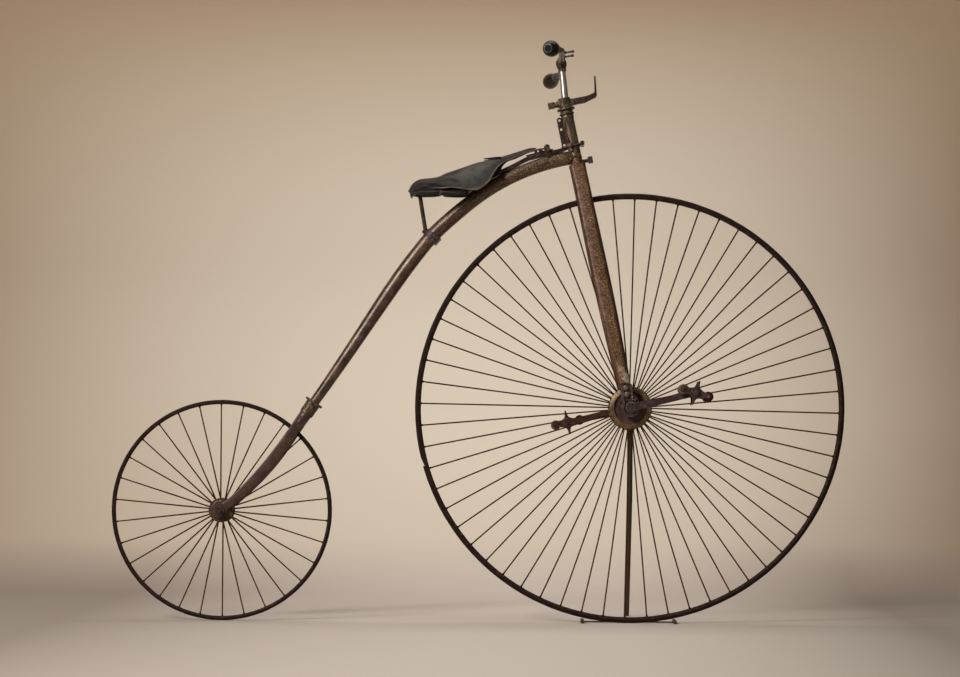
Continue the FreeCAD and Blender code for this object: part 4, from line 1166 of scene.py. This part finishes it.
def makeSaddleLayers():
    shape = newShape()
    for points, radius in saddleLayers["layers"]:
        for side in (-1, 1):
            lift = saddleLayers["farLift"] if side > 0 else 0.0
            line = smoothLine([(x, side * y, z + lift) for x, z, y in points], 7)
            arched = [math.sin(math.pi * (i + 0.6) / (len(line) + 0.2)) for i in range(len(line))]
            addTube(shape, line, [radius * (0.5 + 0.5 * share ** 0.5) for share in arched], 12)
    around = [2 * math.pi * i / saddleLayers["panelSides"] for i in range(saddleLayers["panelSides"])]
    rings = []
    for x, half, z in saddleLayers["panel"]:
        rings.append([(x, half * math.cos(a), z + saddleLayers["panelThick"] * math.sin(a)) for a in around])
    addRings(shape, rings)
    for corners, half in saddleLayers["hook"]:
        addPlate(shape, corners, -half, half, 1)
    makePiece("saddleLayers", shape, ["underHide", "dark_steel"], "frame", ["saddle_rails"], 50)


makeSaddle()
makeSaddleLayers()
print("saddle made")


# Spring trim: leaves above and below the main one, the band that holds them, and the nose screw

spring = {
    # x, z points, width, thickness and steps between points
    "leaves": [
        ([(234, 1336.6), (186, 1325), (135, 1311.2), (96, 1290.6), (58, 1272), (2, 1247.8), (-40, 1234)], 21, 4.6, 9),
        ([(131.0, 1322.0), (150, 1327.6), (186, 1337.4), (206, 1341.4)], 17, 4.8, 6),
    ],
    "noseStrip": ([(184.0, 1344.6), (160.0, 1341.0), (132.0, 1333.5)], 17, 3.6, 6),
    # middle, lean, length, width and height
    "bandBlock": ((190.6, 0, 1336.5), (1, 0, 0.24), 15.0, 29.0, 23.5),
    "noseBlock": ((171.5, 0, 1338.6), (1, 0, 0.2), 11.0, 21.0, 9.5),
    # distance out, x and z, flats, height and turn of the band's square nuts
    "nuts": [(14.5, 190.0, 1341.0, 13.0, 5.0, 20), (13.0, 195.0, 1323.0, 9.5, 4.0, 35)],
    "button": [(0, 4.6), (3.4, 4.4), (4.4, 2.6), (4.6, 0.8)],
}


def stripRings(points, width, thickness, steps):
    line = smoothLine([(x, 0, z) for x, z in points], steps)
    rings = []
    for i, point in enumerate(line):
        along = (line[min(i + 1, len(line) - 1)] - line[max(i - 1, 0)]).normalized()
        up = Vector((-along.z, 0, along.x))
        half = width / 2 + 0.35 * math.sin(i * 1.9)
        thick = thickness / 2 * (1 + 0.18 * math.sin(i * 2.3) * math.sin(i * 0.7))
        edge = min(1.2, thick * 0.6)
        corners = [
            (-half, -thick + edge), (-half + edge, -thick), (half - edge, -thick), (half, -thick + edge),
            (half, thick - edge), (half - edge, thick), (-half + edge, thick), (-half, thick - edge),
        ]
        rings.append([point + Vector((0, a, 0)) + up * b for a, b in corners])
    return rings


def makeSpringTrim():
    shape = newShape()
    for leaf in spring["leaves"]:
        addRings(shape, stripRings(*leaf))
    makePiece("springLeaves", shape, "dark_steel", "frame", (), 40)
    band = newShape()
    middle, lean, *size = spring["bandBlock"]
    addBlock(band, middle, lean, (0, 1, 0), *size)
    addNut(band, (189.4, 0, 1348.0), (-0.2, 0, 1), 15.5, 6.0, 4, 45)
    addTurned(band, (188.4, 0, 1353.5), (-0.2, 0, 1), [(0, 4.2), (2.6, 4.2), (3.2, 3.0)], 20)
    for side in (-1, 1):
        for out, x, z, flats, height, turn in spring["nuts"]:
            addNut(band, (x, side * out, z), (0, side, 0), flats, height, 4, turn)
    addTurned(band, (195.0, 0, 1323.0), (0, 1, 0), [(-17, 3.0), (17, 3.0)], 16)
    makePiece("springBand", band, "dark_steel", "frame", ["spring_clip"], 34, 0.8)
    nose = newShape()
    addRings(nose, stripRings(*spring["noseStrip"]))
    for side in (-1, 1):
        addTurned(nose, (157.0, side * 6.5, 1337.5), (0, side, 0), spring["button"], 18)
    middle, lean, *size = spring["noseBlock"]
    addBlock(nose, middle, lean, (0, 1, 0), *size)
    addTurned(nose, (171.5, 0, 1339.0), (0, 1, 0), [(-13, 3.2), (13, 3.2)], 16)
    makePiece("noseFitting", nose, "dark_steel", "frame", ["nose_plate"], 34, 0.6)


makeSpringTrim()
print("spring trim made")


# The room: a pale sweep, with the wall a little darker away from the middle

room = {
    "front": -4.0, "bend": 1.15, "bendRadius": 1.2, "halfWidth": 7.0, "height": 6.0, "steps": 24,
    # shades in the middle and away from it
    "wall": ((217, 206, 189), (145, 120, 94)), "floor": ((199, 188, 177), (142, 130, 120)),
    # axis, where the light patch is, and how far it reaches each way
    "light": [("X", 0.34, (1.61, -2.7)), ("Z", 0.85, (1.42,)), ("Z", 0.85, (-1.8,))],
    "floorFade": 0.32, "skirting": 0.16,
}


def makeRoom():
    radius = room["bendRadius"]
    rows = [(room["front"], 0.0)]
    for step in range(room["steps"] + 1):
        angle = math.radians(90 * step / room["steps"])
        rows.append((room["bend"] + radius * math.sin(angle), radius * (1 - math.cos(angle))))
    rows.append((room["bend"] + radius, room["height"]))
    count = len(rows)
    mesh = bpy.data.meshes.new("sweep")
    points = [(side, y, z) for side in (-room["halfWidth"], room["halfWidth"]) for y, z in rows]
    mesh.from_pydata(points, [], [(i, i + count, i + count + 1, i + 1) for i in range(count - 1)])
    mesh.shade_smooth()
    sweep = bpy.data.objects.new("sweep", mesh)
    bpy.context.scene.collection.objects.link(sweep)
    startMaterial("paleSweep")
    parts = addNode("SeparateXYZ", {0: addNode("TexCoord").outputs["Object"]}).outputs
    fades = []
    for axis, middle, reaches in room["light"]:
        away = [spread(parts[axis], middle, middle + reach) for reach in reaches]
        fades.append(combine(combine(*away) if len(away) > 1 else away[0], 2.0, "POWER"))
    sideways, upward, downward = fades
    kept = times(times(less(1.0, upward), less(1.0, downward)), less(1.0, sideways))
    wall = blend(less(1.0, kept), *map(paint, room["wall"]))
    floor = blend(spread(sideways, 0.0, room["floorFade"]), *map(paint, room["floor"]))
    making["colour"] = blend(spread(parts["Z"], 0.0, room["skirting"]), floor, wall)
    mesh.materials.append(closeMaterial(0.9, 0.0))


makeRoom()

lamps = [
    # name, place, target, width, height, watts, colour
    ("wallPanel", (0.2, 0.55, 4.0), (0.2, 2.35, 0.7), 5.0, 0.9, 68, (1.0, 0.97, 0.94)),
    ("keyPanel", (-3.0, -3.6, 3.2), (0.1, 0, 0.8), 1.1, 1.4, 240, (1.0, 0.97, 0.94)),
    ("topPanel", (0.2, -0.6, 4.4), (0.1, 0, 0.6), 3.0, 0.8, 22, (1.0, 0.97, 0.94)),
    ("leftStrip", (-2.9, -4.9, 2.9), (0.0, 0, 0.95), 0.22, 2.2, 12, (1.0, 0.98, 0.96)),
    ("sidePanel", (3.8, -4.0, 1.6), (0.1, 0, 0.8), 1.0, 1.8, 12, (1.0, 0.98, 0.97)),
]
for name, place, target, width, height, watts, tint in lamps:
    lamp = bpy.data.lights.new(name, "AREA")
    lamp.shape = "RECTANGLE"
    lamp.size, lamp.size_y = width, height
    lamp.energy = watts
    lamp.color = tint
    holder = bpy.data.objects.new(name, lamp)
    holder.location = place
    holder.rotation_euler = (Vector(target) - Vector(place)).to_track_quat("-Z", "Y").to_euler()
    bpy.context.scene.collection.objects.link(holder)

world = bpy.data.worlds.new("studio")
bpy.context.scene.world = world
world.use_nodes = True
sky = world.node_tree.nodes["Background"].inputs
sky["Color"].default_value = (1.0, 0.96, 0.91, 1)
sky["Strength"].default_value = 0.06

view = {"place": (0.1887, -6.5, 0.4912), "roll": -0.0071, "lens": 85.9, "shift": (-0.0674, 0.1155)}
camera = bpy.data.cameras.new("camera")
camera.sensor_width = 36
camera.lens = view["lens"]
camera.shift_x, camera.shift_y = view["shift"]
holder = bpy.data.objects.new("camera", camera)
holder.location = view["place"]
holder.rotation_euler = (math.radians(90), view["roll"], 0)
bpy.context.scene.collection.objects.link(holder)
bpy.context.scene.camera = holder
bpy.context.scene.view_settings.view_transform = "Standard"
print("room, lamps and camera placed")
